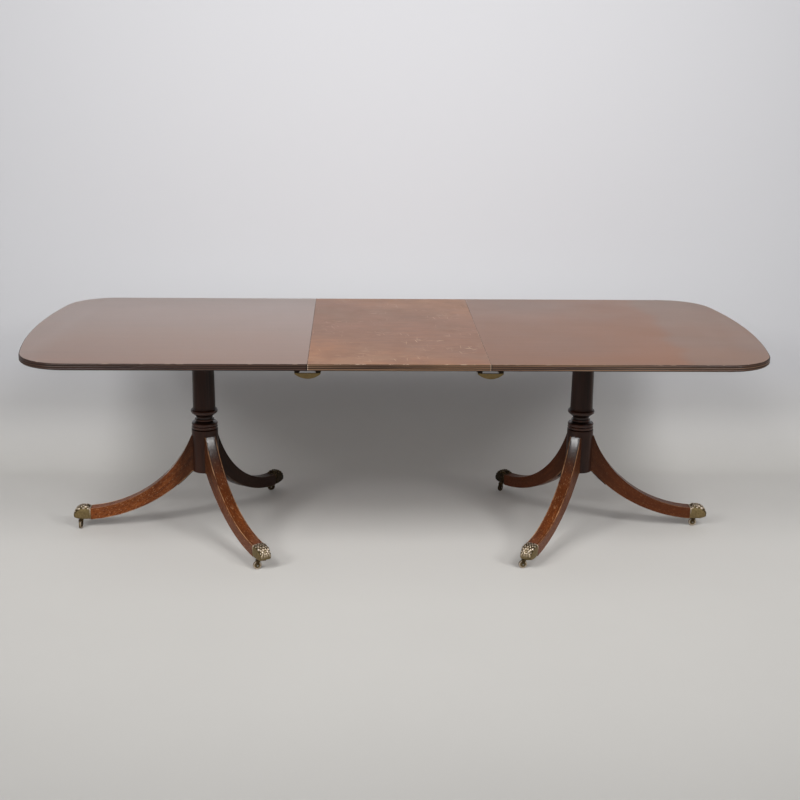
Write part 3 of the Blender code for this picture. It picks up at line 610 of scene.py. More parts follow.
def leg_mahogany(name, colours, ground, painted_light, coat, hub_shade):
    """Polished legs: flecks along the curve, painted shade near the hub and orange below, with knocked
    arrises.
    """
    material, tree, shader, _ = new_material(
        name, {"IOR": 1.5, "Specular IOR Level": 0.1, "Coat Weight": coat, "Coat Roughness": 0.2}
    )
    # Painted shade: the leg is darkened near the hub, where the table top's shadow falls,
    # and the darkening ends a hand's breadth further down
    whole, gone = 0.05, 0.17
    place = add(tree, "ShaderNodeAttribute", attribute_name="grain").outputs["Vector"]
    along = add(tree, "ShaderNodeSeparateXYZ", {0: place}).outputs[0]
    near_hub = {"Value": along, "From Min": whole, "From Max": gone, "To Min": 1.0, "To Max": 0.0}
    hub_shade_mask = add(tree, "ShaderNodeMapRange", near_hub, interpolation_type="SMOOTHSTEP")
    grain = pattern(tree, place, (150, 24, 24), 0.2, 0.6)
    # The pores are about 1 mm long on the real leg and are drawn coarser to show
    fleck = pattern(tree, place, (11, 4, 4), 0.48, 0.62)
    pale = pattern(tree, place, (9, 4, 4), 0.58, 0.68, (3.1, 1.7, 0.4))
    knocks = pattern(tree, place, (30, 9, 9), 0.4, 0.6)
    wear = add(tree, "ShaderNodeAttribute", attribute_name="wear").outputs["Fac"]
    dirt = add(tree, "ShaderNodeAttribute", attribute_name="dirt").outputs["Fac"]
    bare = add(tree, "ShaderNodeMath", {0: wear, 1: knocks}, operation="MULTIPLY")
    # Painted light: the lighter grain, the pale flecks and the bare arrises grow with the light each leg's
    # copy stands for
    wood = layered(
        tree,
        ground,
        (grain, painted_light, colours.leg_light),
        (fleck, 0.6, ground),
        (pale, 0.5 * painted_light, colours.wear_and_highlight),
        (hub_shade_mask, hub_shade, colours.pillar_dark),
        (dirt, 1.0, colours.edge_dark),
        (bare, math.sqrt(painted_light), colours.wear_and_highlight),
    )
    surface(tree, shader, wood, (fleck, 0.3, 0.42), (fleck, 0.1, -0.0002))
    return material


def cast_brass(name, colours, plain, rubbed):
    """Cast and turned brass: plain faces mottled with tarnish, near black hollows and rubbed, paler high
    spots.
    """
    material, tree, shader, place = new_material(name, {"Metallic": 1.0})
    mottle = pattern(tree, place, (7, 7, 7))
    fine = pattern(tree, place, (2.5, 2.5, 2.5), 0.4, 0.6)
    wear = add(tree, "ShaderNodeAttribute", attribute_name="wear").outputs["Fac"]
    dirt = add(tree, "ShaderNodeAttribute", attribute_name="dirt").outputs["Fac"]
    speckle = add(tree, "ShaderNodeMapRange", {"Value": fine, "To Min": 0.5, "To Max": 1.0})
    rub = add(tree, "ShaderNodeMath", {0: wear, 1: speckle}, operation="MULTIPLY")
    metal = layered(
        tree,
        plain,
        (mottle, 0.5, colours.brass_dark),
        (dirt, 0.75, colours.brass_black),
        (rub, 0.9, rubbed),
    )
    surface(tree, shader, metal, (rub, 0.58, 0.42), (fine, 0.15, 0.0003))
    return material


def sheet_brass(name, ground, tarnish):
    """Handled sheet brass: a dull olive skin with darker finger marks."""
    material, tree, shader, place = new_material(name, {"Metallic": 1.0})
    mottle = pattern(tree, place, (16, 16, 10), 0.4, 0.7)
    fine = pattern(tree, place, (3, 3, 3), 0.4, 0.6)
    metal = layered(tree, ground, (mottle, 0.5, tarnish), (fine, 0.15, tarnish))
    surface(tree, shader, metal, (mottle, 0.42, 0.6), (fine, 0.1, 0.0002))
    return material


def dull_metal(name, base, rust):
    """Forged iron or drawn steel with a thin brown bloom."""
    material, tree, shader, place = new_material(name, {"Metallic": 1.0})
    bloom = pattern(tree, place, (12, 12, 12), 0.45, 0.7)
    metal = layered(tree, base, (bloom, 0.5, rust))
    surface(tree, shader, metal, (bloom, 0.45, 0.65), (bloom, 0.15, 0.0003))
    return material


def sawn_beech(colours):
    """Sawn beech: pale, close wood with short dark flecks along the grain."""
    material, tree, shader, place = new_material("sawn_beech", {"IOR": 1.45, "Specular IOR Level": 0.3})
    fleck = pattern(tree, place, (5, 0.9, 0.9), 0.5, 0.7)
    wood = layered(tree, colours.beech_light, (fleck, 1.0, colours.beech_dark))
    surface(tree, shader, wood, (fleck, 0.6, 0.7))
    return material


def studio_paint(stage):
    """Matt painted floor and backdrop with faint scuffs."""
    material, tree, shader, place = new_material("studio_paint", {"IOR": 1.4, "Specular IOR Level": 0.25})
    dust, wall_height = 0.95, 0.4
    scuffs = pattern(tree, place, (900, 900, 900), 0.3, 0.7)
    height = add(tree, "ShaderNodeSeparateXYZ", {0: place}).outputs[2]
    upright = add(tree, "ShaderNodeMapRange", {"Value": height, "From Min": 0.0, "From Max": wall_height})
    dusty = [channel * dust for channel in stage.floor[:3]] + [1.0]
    paint = layered(tree, stage.floor, (scuffs, 0.6, dusty), (upright, 1.0, stage.wall))
    surface(tree, shader, paint, (scuffs, 0.5, 0.6))
    # The paint is clear from behind and below, where the backdrop would hide the table
    behind = add(tree, "ShaderNodeNewGeometry").outputs["Backfacing"]
    clear = add(tree, "ShaderNodeBsdfTransparent")
    one_sided = add(tree, "ShaderNodeMixShader", {0: behind, 1: shader, 2: clear})
    fill(tree, tree.nodes["Material Output"], {"Surface": one_sided})
    return material


# Tops

TOP_FINISH, EDGE_FINISH, PLAIN_FINISH = range(3)


def reeded_profile(sizes, low, high):
    """The reeded edge from the top arris down, as (inset, height, wear, dirt) points."""
    lip_dirt, crest_wear, foot_wear = 0.8, 0.6, 0.2
    depth = sizes.reed_depth
    reed_height = (high - low - 2 * sizes.edge_lip) / sizes.reed_count
    arris = []
    for step in range(ARRIS_STEPS + 1):
        turn = math.pi / 2 * step / ARRIS_STEPS
        inset = depth + sizes.arris_round * (1 - math.sin(turn))
        arris.append((inset, sizes.arris_round * (1 - math.cos(turn))))
    points = [(inset, high - drop, 1.0, 0.0) for inset, drop in arris]
    points.append((depth, high - sizes.edge_lip, 0.0, lip_dirt))
    for reed in range(sizes.reed_count):
        middle = high - sizes.edge_lip - (reed + 0.5) * reed_height
        for step in range(1, REED_STEPS + 1):
            turn = math.pi * (0.5 - step / REED_STEPS)
            crest = math.cos(turn)
            height = middle + reed_height / 2 * math.sin(turn)
            points.append((depth * (1 - crest), height, crest_wear * crest**5, (1 - crest) ** 0.8))
    points += [(inset, low + drop, foot_wear, 0.0) for inset, drop in reversed(arris)]
    return points


def close_board(bm, seam_x, low, high):
    """Closes a swept edge with its top, its underside and its seam face."""
    for height in (low, high):
        corner = Vector((seam_x, height))
        ends = [vert for vert in bm.verts if (vert.co.xz - corner).length < MERGE_DISTANCE]
        bm.edges.new(ends)
        fill_loop(bm, [edge for edge in bm.edges if lies_at(edge, 2, height)])
    fill_loop(bm, [edge for edge in bm.edges if lies_at(edge, 0, seam_x)])


def soften_seam(bm, seam_x, high, width):
    arris = [edge for edge in bm.edges if lies_at(edge, 0, seam_x) and lies_at(edge, 2, high)]
    soften(bm, arris, width, 3)


def part_faces(bm, low, high, seam_finish):
    """Gives the top, the edge, the plain faces and the arrises along the seams their finishes."""
    slight, upright, flat = 0.05, 0.999, 2 * MERGE_DISTANCE
    face_out(bm)
    bm.normal_update()
    for face in bm.faces:
        heights = [vert.co.z for vert in face.verts]
        if min(heights) > high - flat:
            face.material_index = TOP_FINISH
        elif face.normal.z > slight and abs(face.normal.y) < slight:
            face.material_index = seam_finish
        elif max(heights) < low + flat or abs(face.normal.x) > upright:
            face.material_index = PLAIN_FINISH
        else:
            face.material_index = EDGE_FINISH


def ordered_row(verts):
    """The vertices of one open row in order, starting from the highest."""
    row = [max(verts, key=lambda vert: vert.co.z)]
    rest = set(verts) - {row[0]}
    while rest:
        after = next(e.other_vert(row[-1]) for e in row[-1].link_edges if e.other_vert(row[-1]) in rest)
        rest.remove(after)
        row.append(after)
    return row


def end_board(sizes):
    """The right-hand end section: straight front, round corner, bowed end, round corner, straight back."""
    low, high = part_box("right_top")
    half_width = (high.y - low.y) / 2
    corner_y = half_width - sizes.corner_radius
    bow_x = high.x - sizes.bow_radius
    centre_distance = sizes.bow_radius - sizes.corner_radius
    meet = math.asin(corner_y / centre_distance)
    corner_x = bow_x + centre_distance * math.cos(meet)
    straight = Vector((corner_x - low.x, 0, 0))
    bm = worn_bmesh()
    profile = reeded_profile(sizes, low.z, high.z)
    row = chain(bm, [(low.x, inset - half_width, height) for inset, height, _, _ in profile])
    mark_row(bm, row, profile)
    row = extrude_row(bm, row, [vert.co + straight for vert in row])
    corner_turn = math.pi / 2 - meet
    bends = (
        ((corner_x, -corner_y, 0), corner_turn, CORNER_STEPS),
        ((bow_x, 0, 0), 2 * meet, BOW_STEPS),
        ((corner_x, corner_y, 0), corner_turn, CORNER_STEPS),
    )
    geom = row + [bm.edges.get(pair) for pair in zip(row, row[1:])]
    for centre, turn, steps in bends:
        spun = bmesh.ops.spin(bm, geom=geom, cent=centre, axis=(0, 0, 1), angle=turn, steps=steps)
        geom = spun["geom_last"]
    row = ordered_row(only(BMVert, geom))
    extrude_row(bm, row, [vert.co - straight for vert in row])
    # The sweep ends a hair off the seam
    for vert in bm.verts:
        if abs(vert.co.x - low.x) < 10 * MERGE_DISTANCE:
            vert.co.x = low.x
    close_board(bm, low.x, low.z, high.z)
    soften_seam(bm, low.x, high.z, sizes.seam_round)
    part_faces(bm, low.z, high.z, EDGE_FINISH)
    return bm


def leaf_board(sizes):
    """The loose leaf: its reeded section drawn out from seam to seam."""
    low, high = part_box("leaf")
    half_width = (high.y - low.y) / 2
    bm = worn_bmesh()
    profile = reeded_profile(sizes, low.z, high.z)
    outline = [(low.x, inset - half_width, height) for inset, height, _, _ in profile]
    outline += [(low.x, half_width - inset, height) for inset, height, _, _ in reversed(profile)]
    row = chain(bm, outline, closed=True)
    mark_row(bm, row, profile + profile[::-1])
    draw_out(bm, fill_loop(bm, bm.edges[:]), (high.x - low.x, 0, 0))
    for seam_x in (low.x, high.x):
        soften_seam(bm, seam_x, high.z, sizes.seam_round)
    part_faces(bm, low.z, high.z, TOP_FINISH)
    return bm


# Pillars

HUB_RADIUS = 0.0468
RINGS_TOP = 0.4455
RINGS_FOOT = 0.375


def hollow_quarter(start, end):
    """A hollow quarter ellipse from one (radius, height) to another, which leaves along the height."""
    points = []
    for step in range(1, CURVE_STEPS + 1):
        turn = math.pi / 2 * step / CURVE_STEPS
        radius = start[0] + (end[0] - start[0]) * (1 - math.cos(turn))
        height = start[1] + (end[1] - start[1]) * math.sin(turn)
        points.append((radius, height, 0, 0))
    return points


def half_round(groove, top, foot, swell):
    """A half-round ring between two heights, with dirt at its quirks and wear on its crest."""
    points = []
    for step in range(1, CURVE_STEPS + 1):
        turn = math.pi * step / CURVE_STEPS
        crest = math.sin(turn)
        height = (top + foot) / 2 + (top - foot) / 2 * math.cos(turn)
        points.append((groove + swell * crest, height, crest**4, (1 - crest) ** 3))
    return points


def pillar_profile():
    """The turned outline from the tenon down to the foot of the hub, as (radius, height, wear, dirt)."""
    low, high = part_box("right_pillar")
    block_low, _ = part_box("right_pillar_block")
    shaft_top = block_low.z - CLEARANCE
    tenon, shaft, shaft_foot = 0.0225, 0.0375, 0.0398
    flare, ring_groove, ring_foot, ring_swell = 0.457, 0.0435, 0.4325, 0.004
    neck, neck_top, neck_foot, quirk = 0.0288, 0.4205, 0.4125, 0.0015
    collar_groove, collar_foot, collar_swell = 0.0305, 0.4035, 0.0035
    bead_count, bead_groove, bead_top, bead_height, bead_swell = 2, 0.0425, 0.3985, 0.0115, 0.0037
    hub_top = 0.374
    points = [(tenon, high.z, 0, 0), (tenon, shaft_top, 0, 0)]
    for step in range(CURVE_STEPS + 1):
        share = step / CURVE_STEPS
        points.append((shaft + (shaft_foot - shaft) * share, shaft_top + (flare - shaft_top) * share, 0, 0))
    points += hollow_quarter((shaft_foot, flare), (ring_groove, RINGS_TOP))
    points += half_round(ring_groove, RINGS_TOP, ring_foot, ring_swell)
    points += [(neck + quirk, neck_top, 0, 0.6), (neck, neck_top - quirk, 0, 0), (neck, neck_foot, 0, 0.8)]
    points += half_round(collar_groove, neck_foot, collar_foot, collar_swell)
    points.append((bead_groove, bead_top, 0, 0.6))
    for number in range(bead_count):
        top = bead_top - number * bead_height
        points += half_round(bead_groove, top, top - bead_height, bead_swell)
    points += [(HUB_RADIUS - quirk, hub_top, 0, 0.5), (HUB_RADIUS, hub_top - quirk, 0, 0)]
    points.append((HUB_RADIUS, low.z, 0, 0))
    return points


def pillar(side):
    """A pillar turned about its own axis and closed at both ends. Its rings have a finish of their own."""
    profile = pillar_profile()
    bm = turn_profile(profile, PILLAR_STEPS)
    bmesh.ops.remove_doubles(bm, verts=bm.verts, dist=MERGE_DISTANCE)
    _, top, _, _ = profile[0]
    close_tube(bm, 2, top)
    for face in bm.faces:
        face.material_index = 1 if RINGS_FOOT < face.calc_center_median().z < RINGS_TOP else 0
    bmesh.ops.translate(bm, verts=bm.verts, vec=pillar_foot(side))
    return bm


# Legs and paw caps, modelled along +X from the pillar's axis

TOE_FOOT = 0.0339
TOE_TOP = 0.0759
# The panel's glossy coat and deeper painted shade reach this far down a leg from the hub
GLOSS_AND_SHADE_LENGTH = 0.18
PAW_BACK = 0.416
PAW_COLLAR = 0.4182
PAW_TOES = 0.444
PAW_FRONT = 0.477


def leg_heading(foot):
    """The move from the pillar's axis at the middle of the table to a leg's own place and heading."""
    side, _ = foot.split("_")
    centre = pillar_foot(side)
    toe = Vector(JOINTS[foot + "_swivel"]["pos_m"]) - centre
    return Matrix.Translation(centre) @ Matrix.Rotation(math.atan2(toe.y, toe.x), 4, "Z")


def leg_section(sizes, depth):
    """Half a leg's section from the foot up to the middle of its panel.

    Each point has its distance from the middle, whether it goes by the upper line, its rise from there,
    and its wear and dirt. Depth is the share of the panel's full depth."""
    half = sizes.leg_width / 2
    bead = sizes.leg_bead / 2
    panel = sizes.leg_panel_depth * depth
    foot_round, bead_turn = 0.0015, math.radians(155)
    # The quirk beside the bead and the panel's edge, from the side of the leg
    quirk, panel_edge, quirk_depth = 2.1 * bead, 2.5 * bead, 1.6 * panel
    points = [
        (half - foot_round, False, 0.0, 0.3, 0.0),
        (half, False, foot_round, 0.7, 0.0),
        (half, False, 3 * foot_round, 0.0, 0.0),
        (half, True, -3 * bead, 0.0, 0.0),
    ]
    for step in range(CURVE_STEPS + 1):
        turn = bead_turn * step / CURVE_STEPS
        crest = math.sin(turn)
        rise = bead * (crest - 1)
        if turn > math.pi / 2:
            rise *= depth
        points.append((half - bead + bead * math.cos(turn), True, rise, crest**3, 0.0))
    points += [
        (half - quirk, True, -quirk_depth, 0.0, depth),
        (half - panel_edge, True, -panel, 0.0, 0.2 * depth),
        (half / 2, True, -panel, 0.0, 0.0),
        (0.0, True, -panel, 0.0, 0.0),
    ]
    return points


def leg_ring(sizes, upper, under, depth):
    """One ring of a leg between its upper and lower points, as (place, wear, dirt)."""
    upper = Vector((upper[0], 0, upper[1]))
    under = Vector((under[0], 0, under[1]))
    rise = (upper - under).normalized()
    ring = []
    for across, from_upper, climb, worn, dirty in leg_section(sizes, depth):
        start = upper if from_upper else under
        ring.append((start + rise * climb + Vector((0, across, 0)), worn, dirty))
    mirrored = [(Vector((p.x, -p.y, p.z)), worn, dirty) for p, worn, dirty in reversed(ring[:-1])]
    return ring + mirrored


def leg_lines():
    """Upper and lower points along a leg: first inside its hub, and then from the hub to its toe."""
    root_top, root_foot, into_hub = 0.352, 0.218, Vector((0.009, 0))
    upper_sag, under_sag = 0.066, 0.039
    toe = PAW_BACK - CLEARANCE
    upper = arc((HUB_RADIUS, root_top), (toe, TOE_TOP), upper_sag, LEG_STEPS)
    under = arc((HUB_RADIUS, root_foot), (toe, TOE_FOOT), under_sag, LEG_STEPS)
    return [(upper[0] - into_hub, under[0] - into_hub)] + list(zip(upper, under))


def sabre_leg(sizes):
    """A sabre leg from inside its hub to the back of its paw cap."""
    panel_start, panel_full = 0.004, 0.0075
    bm = worn_bmesh()
    grain = bm.verts.layers.float_vector.new("grain")
    stations = leg_lines()
    start, _ = stations[0]
    root, _ = stations[1]
    travelled = 0.0
    row = None
    before = None
    for high, low in stations:
        middle = (high + low) / 2
        travelled += (middle - before).length if before else 0.0
        before = middle
        depth = ease((high - root).length, panel_start, panel_full)
        ring = leg_ring(sizes, high, low, depth)
        row = next_ring(bm, row, [point for point, _, _ in ring])
        mark_row(bm, row, ring)
        upward = (high - low).normalized()
        for vert, (point, _, _) in zip(row, ring):
            vert[grain] = (travelled, point.y, (point.xz - middle).dot(upward))
    close_tube(bm, 0, start.x)
    # The panel has a glossy coat and deeper painted shade only near the hub
    panel_half = sizes.leg_width / 2 - sizes.leg_bead
    for face in bm.faces:
        places = [vert[grain] for vert in face.verts]
        on_panel = all(abs(place.y) < panel_half and place.z > 0 for place in places)
        near_hub = max(place.x for place in places) < GLOSS_AND_SHADE_LENGTH
        face.material_index = 1 if on_panel and near_hub else 0
    return bm


def paw_point(reach, turn):
    """A point on a smooth paw: a flat sole and sides under a rounded back, which falls to a round nose."""
    knuckle, tip_top, tip_sole = 0.0839, 0.0505, 0.0435
    half_width, swell, taper = 0.021, 0.0018, 0.005
    climb_start, climb_end = PAW_BACK + 0.004, PAW_BACK + 0.013
    squareness, rounding = 0.32, 0.34
    fall = max(reach - PAW_TOES, 0.0) / (PAW_FRONT - PAW_TOES)
    drop = 1 - math.sqrt(max(1 - fall * fall, 0.0))
    climb = ease(reach, climb_start, climb_end)
    top = TOE_TOP + (knuckle - TOE_TOP) * climb - (knuckle - tip_top) * drop
    low = TOE_FOOT + (tip_sole - TOE_FOOT) * drop
    half = half_width + swell * climb - taper * drop
    power = squareness if math.sin(turn) < 0 else squareness + rounding * climb
    across = math.copysign(abs(math.cos(turn)) ** power, math.cos(turn))
    rise = math.copysign(abs(math.sin(turn)) ** power, math.sin(turn))
    return Vector((reach, half * across, (top + low) / 2 + (top - low) / 2 * rise))


def paw_knobs():
    """Curls in staggered rows over a paw's back and nose, and toes below, as (middle, half size)."""
    curl_radius, curl_spread, curl_gap, curl_stretch = 0.003, 0.3, 0.42, 1.5
    back_rows, first_row, row_gap = 3, PAW_COLLAR + 0.0062, 0.0084
    nose_tilts = (9, 26, 43, 59, 74)
    toe_gap, toe_reach, toe_height = 0.0098, 0.4755, 0.052
    toe_size = Vector((0.006, 0.0042, 0.0062))
    nose = PAW_FRONT - PAW_TOES
    rows = [first_row + row_gap * number for number in range(back_rows)]
    rows += [PAW_TOES + nose * math.sin(math.radians(tilt)) for tilt in nose_tilts]
    knobs = []
    for number, reach in enumerate(rows):
        count = 5 - number % 2
        for place in range(count):
            share = curl_gap * (place - (count - 1) / 2)
            turn = math.acos(math.copysign(abs(share) ** 1.5, share))
            radius = curl_radius * (1 + curl_spread * math.sin(5 * number + 3 * place))
            # Each curl is a lock of hair that lies along the leg
            size = Vector((curl_stretch * radius, radius, curl_stretch * radius))
            knobs.append((paw_point(reach, turn), size))
    for place in (-1.5, -0.5, 0.5, 1.5):
        knobs.append((Vector((toe_reach, toe_gap * place, toe_height)), toe_size))
    return knobs


def carve_paw(bm, sizes):
    """Raises the collar lip, the curls and the toes of a smooth paw along its normals."""
    wear = bm.verts.layers.float["wear"]
    dirt = bm.verts.layers.float["dirt"]
    lip_width, knob_foot, low_rubbing = 0.002, 0.35, 0.35
    # Heights and slopes over which the lip, the carving and the rubbing come in
    lip_rise, rubbed_rise = (0.05, 0.07), (0.052, 0.064)
    carved_rise, carved_slope = (0.042, 0.046), (0.2, 0.5)
    # Shares of a knob over which it is rubbed bright and clear of dirt
    bright_part, clean_part = (0.2, 0.75), (0.1, 0.5)
    bm.normal_update()
    places = [(vert, vert.co.copy(), vert.normal.copy()) for vert in bm.verts]
    knobs = paw_knobs()
    for vert, place, normal in places:
        lip = math.exp(-(((place.x - PAW_COLLAR) / lip_width) ** 2)) * ease(place.z, *lip_rise)
        knob = 0.0
        for middle, size in knobs:
            off = place - middle
            away = Vector((off.x / size.x, off.y / size.y, off.z / size.z))
            knob = max(knob, math.exp(-away.length_squared))
        # The flat sides and the sole stay plain
        slope = max(normal.z, 0.0) + max(normal.x, 0.0)
        facing = ease(slope, *carved_slope) * ease(place.z, *carved_rise)
        carved = facing * ease(place.x, PAW_COLLAR + lip_width, PAW_COLLAR + 2 * lip_width)
        lift = sizes.lip_height * lip + sizes.curl_height * (knob - knob_foot) * carved
        vert.co = place + normal * lift
        # The low toes are rubbed less than the back
        rubbing_and_highlight = low_rubbing + (1 - low_rubbing) * ease(place.z, *rubbed_rise)
        vert[wear] = min(1.0, lip + rubbing_and_highlight * carved * ease(knob, *bright_part))
        vert[dirt] = carved * (1 - ease(knob, *clean_part))


def paw_cap(sizes):
    """A cast lion's paw over the toe of a leg, with its rings closest at the nose."""
    closeness = 0.9
    bm = worn_bmesh()
    turns = [2 * math.pi * (point + 0.5) / PAW_POINTS for point in range(PAW_POINTS)]
    row = None
    for step in range(PAW_STEPS + 1):
        share = math.sin(math.pi / 2 * step / PAW_STEPS) ** closeness
        reach = PAW_BACK + (PAW_FRONT - PAW_BACK) * share
        row = next_ring(bm, row, [paw_point(reach, turn) for turn in turns])
    close_tube(bm, 0, PAW_BACK)
    face_out(bm)
    carve_paw(bm, sizes)
    return bm


# Casters, modelled about the swivel axis with the wheel trailing along +X

HORN_SEAT = 0.0335
HORN_PLATE = 0.03


def horn_outlines(reach, axle_height):
    """Side views of a horn's crown and of its arm, which ends in an eye around the axle, as (x, z)."""
    nose, arm_back, arm_front, eye = -0.011, 0.008, 0.0228, 0.0048
    waist_back, waist_front = (0.0125, 0.0225), (0.0224, 0.0215)
    eye_start, eye_sweep = 190, 160
    crown = [(nose, HORN_SEAT), (nose, HORN_PLATE), (arm_back, HORN_PLATE)]
    crown += [(arm_front, HORN_PLATE), (arm_front, HORN_SEAT)]
    arm = [(arm_back, HORN_PLATE), waist_back]
    for step in range(CURVE_STEPS + 1):
        turn = math.radians(eye_start + eye_sweep * step / CURVE_STEPS)
        arm.append((reach + eye * math.cos(turn), axle_height + eye * math.sin(turn)))
    arm += [waist_front, (arm_front, HORN_PLATE)]
    return crown, arm


def horn_fork(outlines):
    """Two arms under a crown: one half drawn out from its side views, and the mirror image of that half."""
    inside, cheek = 0.0046, 0.0024
    bm = bmesh.new()
    for outline in outlines:
        row = chain(bm, [(x, inside, z) for x, z in outline], closed=True)
        fill_loop(bm, [bm.edges.get(pair) for pair in zip(row, row[1:] + row[:1])])
    bmesh.ops.remove_doubles(bm, verts=bm.verts, dist=MERGE_DISTANCE)
    flats = bm.faces[:]
    draw_out(bm, flats, (0, cheek, 0))
    # The crown runs on to the middle, where it is left open for the mirror
    inner = [face for face in flats if face.calc_center_median().z > HORN_PLATE]
    ends = [face for face in draw_out(bm, inner, (0, -inside, 0)) if lies_at(face, 1, 0)]
    bmesh.ops.delete(bm, geom=inner + ends, context="FACES_ONLY")
    everything = bm.verts[:] + bm.edges[:] + bm.faces[:]
    bmesh.ops.mirror(bm, geom=everything, matrix=Matrix(), merge_dist=MERGE_DISTANCE, axis="Y")
    face_out(bm)
    return bm


def caster_horn(sizes, foot):
    """A horn over a wheel: a crown under the paw, two slim arms down to the axle and a swivel stem."""
    stem, stem_length = 0.004, 0.014
    swivel = Vector(JOINTS[foot + "_swivel"]["pos_m"])
    axle = Vector(JOINTS[foot + "_roll"]["pos_m"])
    trail = axle - swivel
    bm = horn_fork(horn_outlines(math.hypot(trail.x, trail.y), axle.z))
    soften(bm, sharp_edges(bm), sizes.horn_round, 2)
    bmesh.ops.create_cone(
        bm,
        cap_ends=True,
        segments=PLATE_STEPS,
        radius1=stem,
        radius2=stem,
        depth=stem_length,
        matrix=Matrix.Translation((0, 0, HORN_SEAT + stem_length / 2)),
    )
    turn = Matrix.Rotation(math.atan2(trail.y, trail.x), 4, "Z")
    bmesh.ops.transform(bm, matrix=Matrix.Translation((swivel.x, swivel.y, 0)) @ turn, verts=bm.verts)
    return bm


def wheel(joint):
    """A brass wheel with a rim and a boss, turned about its own axle."""
    # Radius, half width, wear and dirt from the middle of the face out to the tread
    face = [
        (0.0, 0.0039, 0.0, 0.0),
        (0.0034, 0.0039, 0.6, 0.0),
        (0.0041, 0.0028, 0.0, 0.6),
        (0.0094, 0.0026, 0.0, 0.1),
        (0.0101, 0.0036, 0.8, 0.0),
        (0.0116, 0.0040, 1.0, 0.0),
        (0.0134, 0.0037, 0.9, 0.0),
        (0.01445, 0.0022, 0.1, 0.5),
    ]
    profile = face + [(radius, -height, worn, dirty) for radius, height, worn, dirty in reversed(face)]
    bm = turn_profile(profile, WHEEL_STEPS)
    axle = Vector(joint["axis"]).to_track_quat("Z", "Y").to_matrix().to_4x4()
    bmesh.ops.transform(bm, matrix=Matrix.Translation(joint["pos_m"]) @ axle, verts=bm.verts)
    return bm


# Leaf clips


def leaf_clip(sizes, node):
    """A sliding clip: a half-moon finger plate with two flat prongs behind it."""
    prong_width, prong_height, plate, shoulder_drop = 0.015, 0.0045, 0.004, 0.003
    low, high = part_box(node)
    outer = (high.x - low.x) / 2
    inner = outer - prong_width
    seat = high.z - prong_height
    shoulder = seat - shoulder_drop
    outline = [(outer, seat), (inner, seat), (-inner, seat), (-outer, seat)]
    outline += arc((-outer, shoulder), (outer, shoulder), shoulder - low.z, PLATE_STEPS)
    bm = bmesh.new()
    row = chain(bm, [(x, 0, z) for x, z in outline], closed=True)
    fill_loop(bm, bm.edges[:])
    # The plate has a low step at either end, and a prong runs back from each
    for step in (row[:2], row[2:4]):
        extrude_row(bm, step, [vert.co + Vector((0, 0, prong_height)) for vert in step])
    for face in draw_out(bm, bm.faces[:], (0, plate, 0)):
        if face.calc_center_median().z > seat:
            draw_out(bm, [face], (0, high.y - low.y - plate, 0))
            bmesh.ops.delete(bm, geom=[face], context="FACES_ONLY")
    face_out(bm)
    soften(bm, sharp_edges(bm), sizes.plate_round, 3)
    # The prongs and their steps take the second finish, a near-black painted shade
    for face in bm.faces:
        face.material_index = 1 if face.calc_center_median().z > seat - sizes.plate_round else 0
    # A clip on the rear edge is turned round
    front = low.y < 0
    place = Matrix.Translation(((low.x + high.x) / 2, low.y if front else high.y, 0))
    turn = Matrix.Rotation(0 if front else math.pi, 4, "Z")
    bmesh.ops.transform(bm, matrix=place @ turn, verts=bm.verts)
    return bm


# Stage


def backdrop(stage):
    """A pale floor that sweeps up into a backdrop close behind the table."""
    front, bend, radius, height, half_width = -9.0, 0.56, 0.24, 6.0, 9.0
    bm = bmesh.new()
    points = [(-half_width, front, 0)]
    for step in range(COVE_STEPS + 1):
        turn = math.pi / 2 * step / COVE_STEPS
        points.append((-half_width, bend + radius * math.sin(turn), radius * (1 - math.cos(turn))))
    points.append((-half_width, bend + radius, height))
    row = chain(bm, points)
    extrude_row(bm, row, [vert.co + Vector((2 * half_width, 0, 0)) for vert in row])
    # The painted side faces up and forward
    bm.normal_update()
    if min(face.normal.z for face in bm.faces) < -0.5:
        bmesh.ops.reverse_faces(bm, faces=bm.faces)
    make_object("backdrop", bm, [studio_paint(stage)])


def area_light(name, place, aim, size, power, spread):
    lamp = bpy.data.lights.new(name, "AREA")
    lamp.shape = "RECTANGLE"
    lamp.size, lamp.size_y = size
    lamp.energy = power
    lamp.spread = math.radians(spread)
    light = bpy.data.objects.new(name, lamp)
    light.location = place
    light.rotation_euler = (Vector(aim) - Vector(place)).to_track_quat("-Z", "Y").to_euler()
    light.visible_camera = False
    bpy.context.scene.collection.objects.link(light)


def light_stage(stage):
    """High key lights and low softboxes in front, one of each to either side, and an even fill."""
    # Place on the right-hand side, aim, size, power and spread in degrees
    lamps = {
        "key": ((2.15, -3.1, 4.5), (0, 0.9, 1.2), (1.5, 1.8), stage.key_power, 76),
        "softbox": ((3.6, -3.4, 3.1), (0, 0.2, 0.5), (0.75, 1.1), stage.softbox_power, 80),
    }
    for side in (-1, 1):
        for name, ((x, y, z), *rest) in lamps.items():
            area_light(name, (side * x, y, z), *rest)
    world = bpy.data.worlds.new("studio_fill")
    world.use_nodes = True
    tree = world.node_tree
    # The fill comes from the ceiling and fades towards the floor
    low_share, full_height = 0.64, 0.6
    dimmest = low_share * stage.world
    towards = add(tree, "ShaderNodeTexCoord").outputs["Generated"]
    height = add(tree, "ShaderNodeSeparateXYZ", {0: towards}).outputs[2]
    fade = {"Value": height, "From Max": full_height, "To Min": dimmest, "To Max": stage.world}
    strength = add(tree, "ShaderNodeMapRange", fade)
    fill(tree, tree.nodes["Background"], {"Color": linear("#ffffff"), "Strength": strength})
    bpy.context.scene.world = world


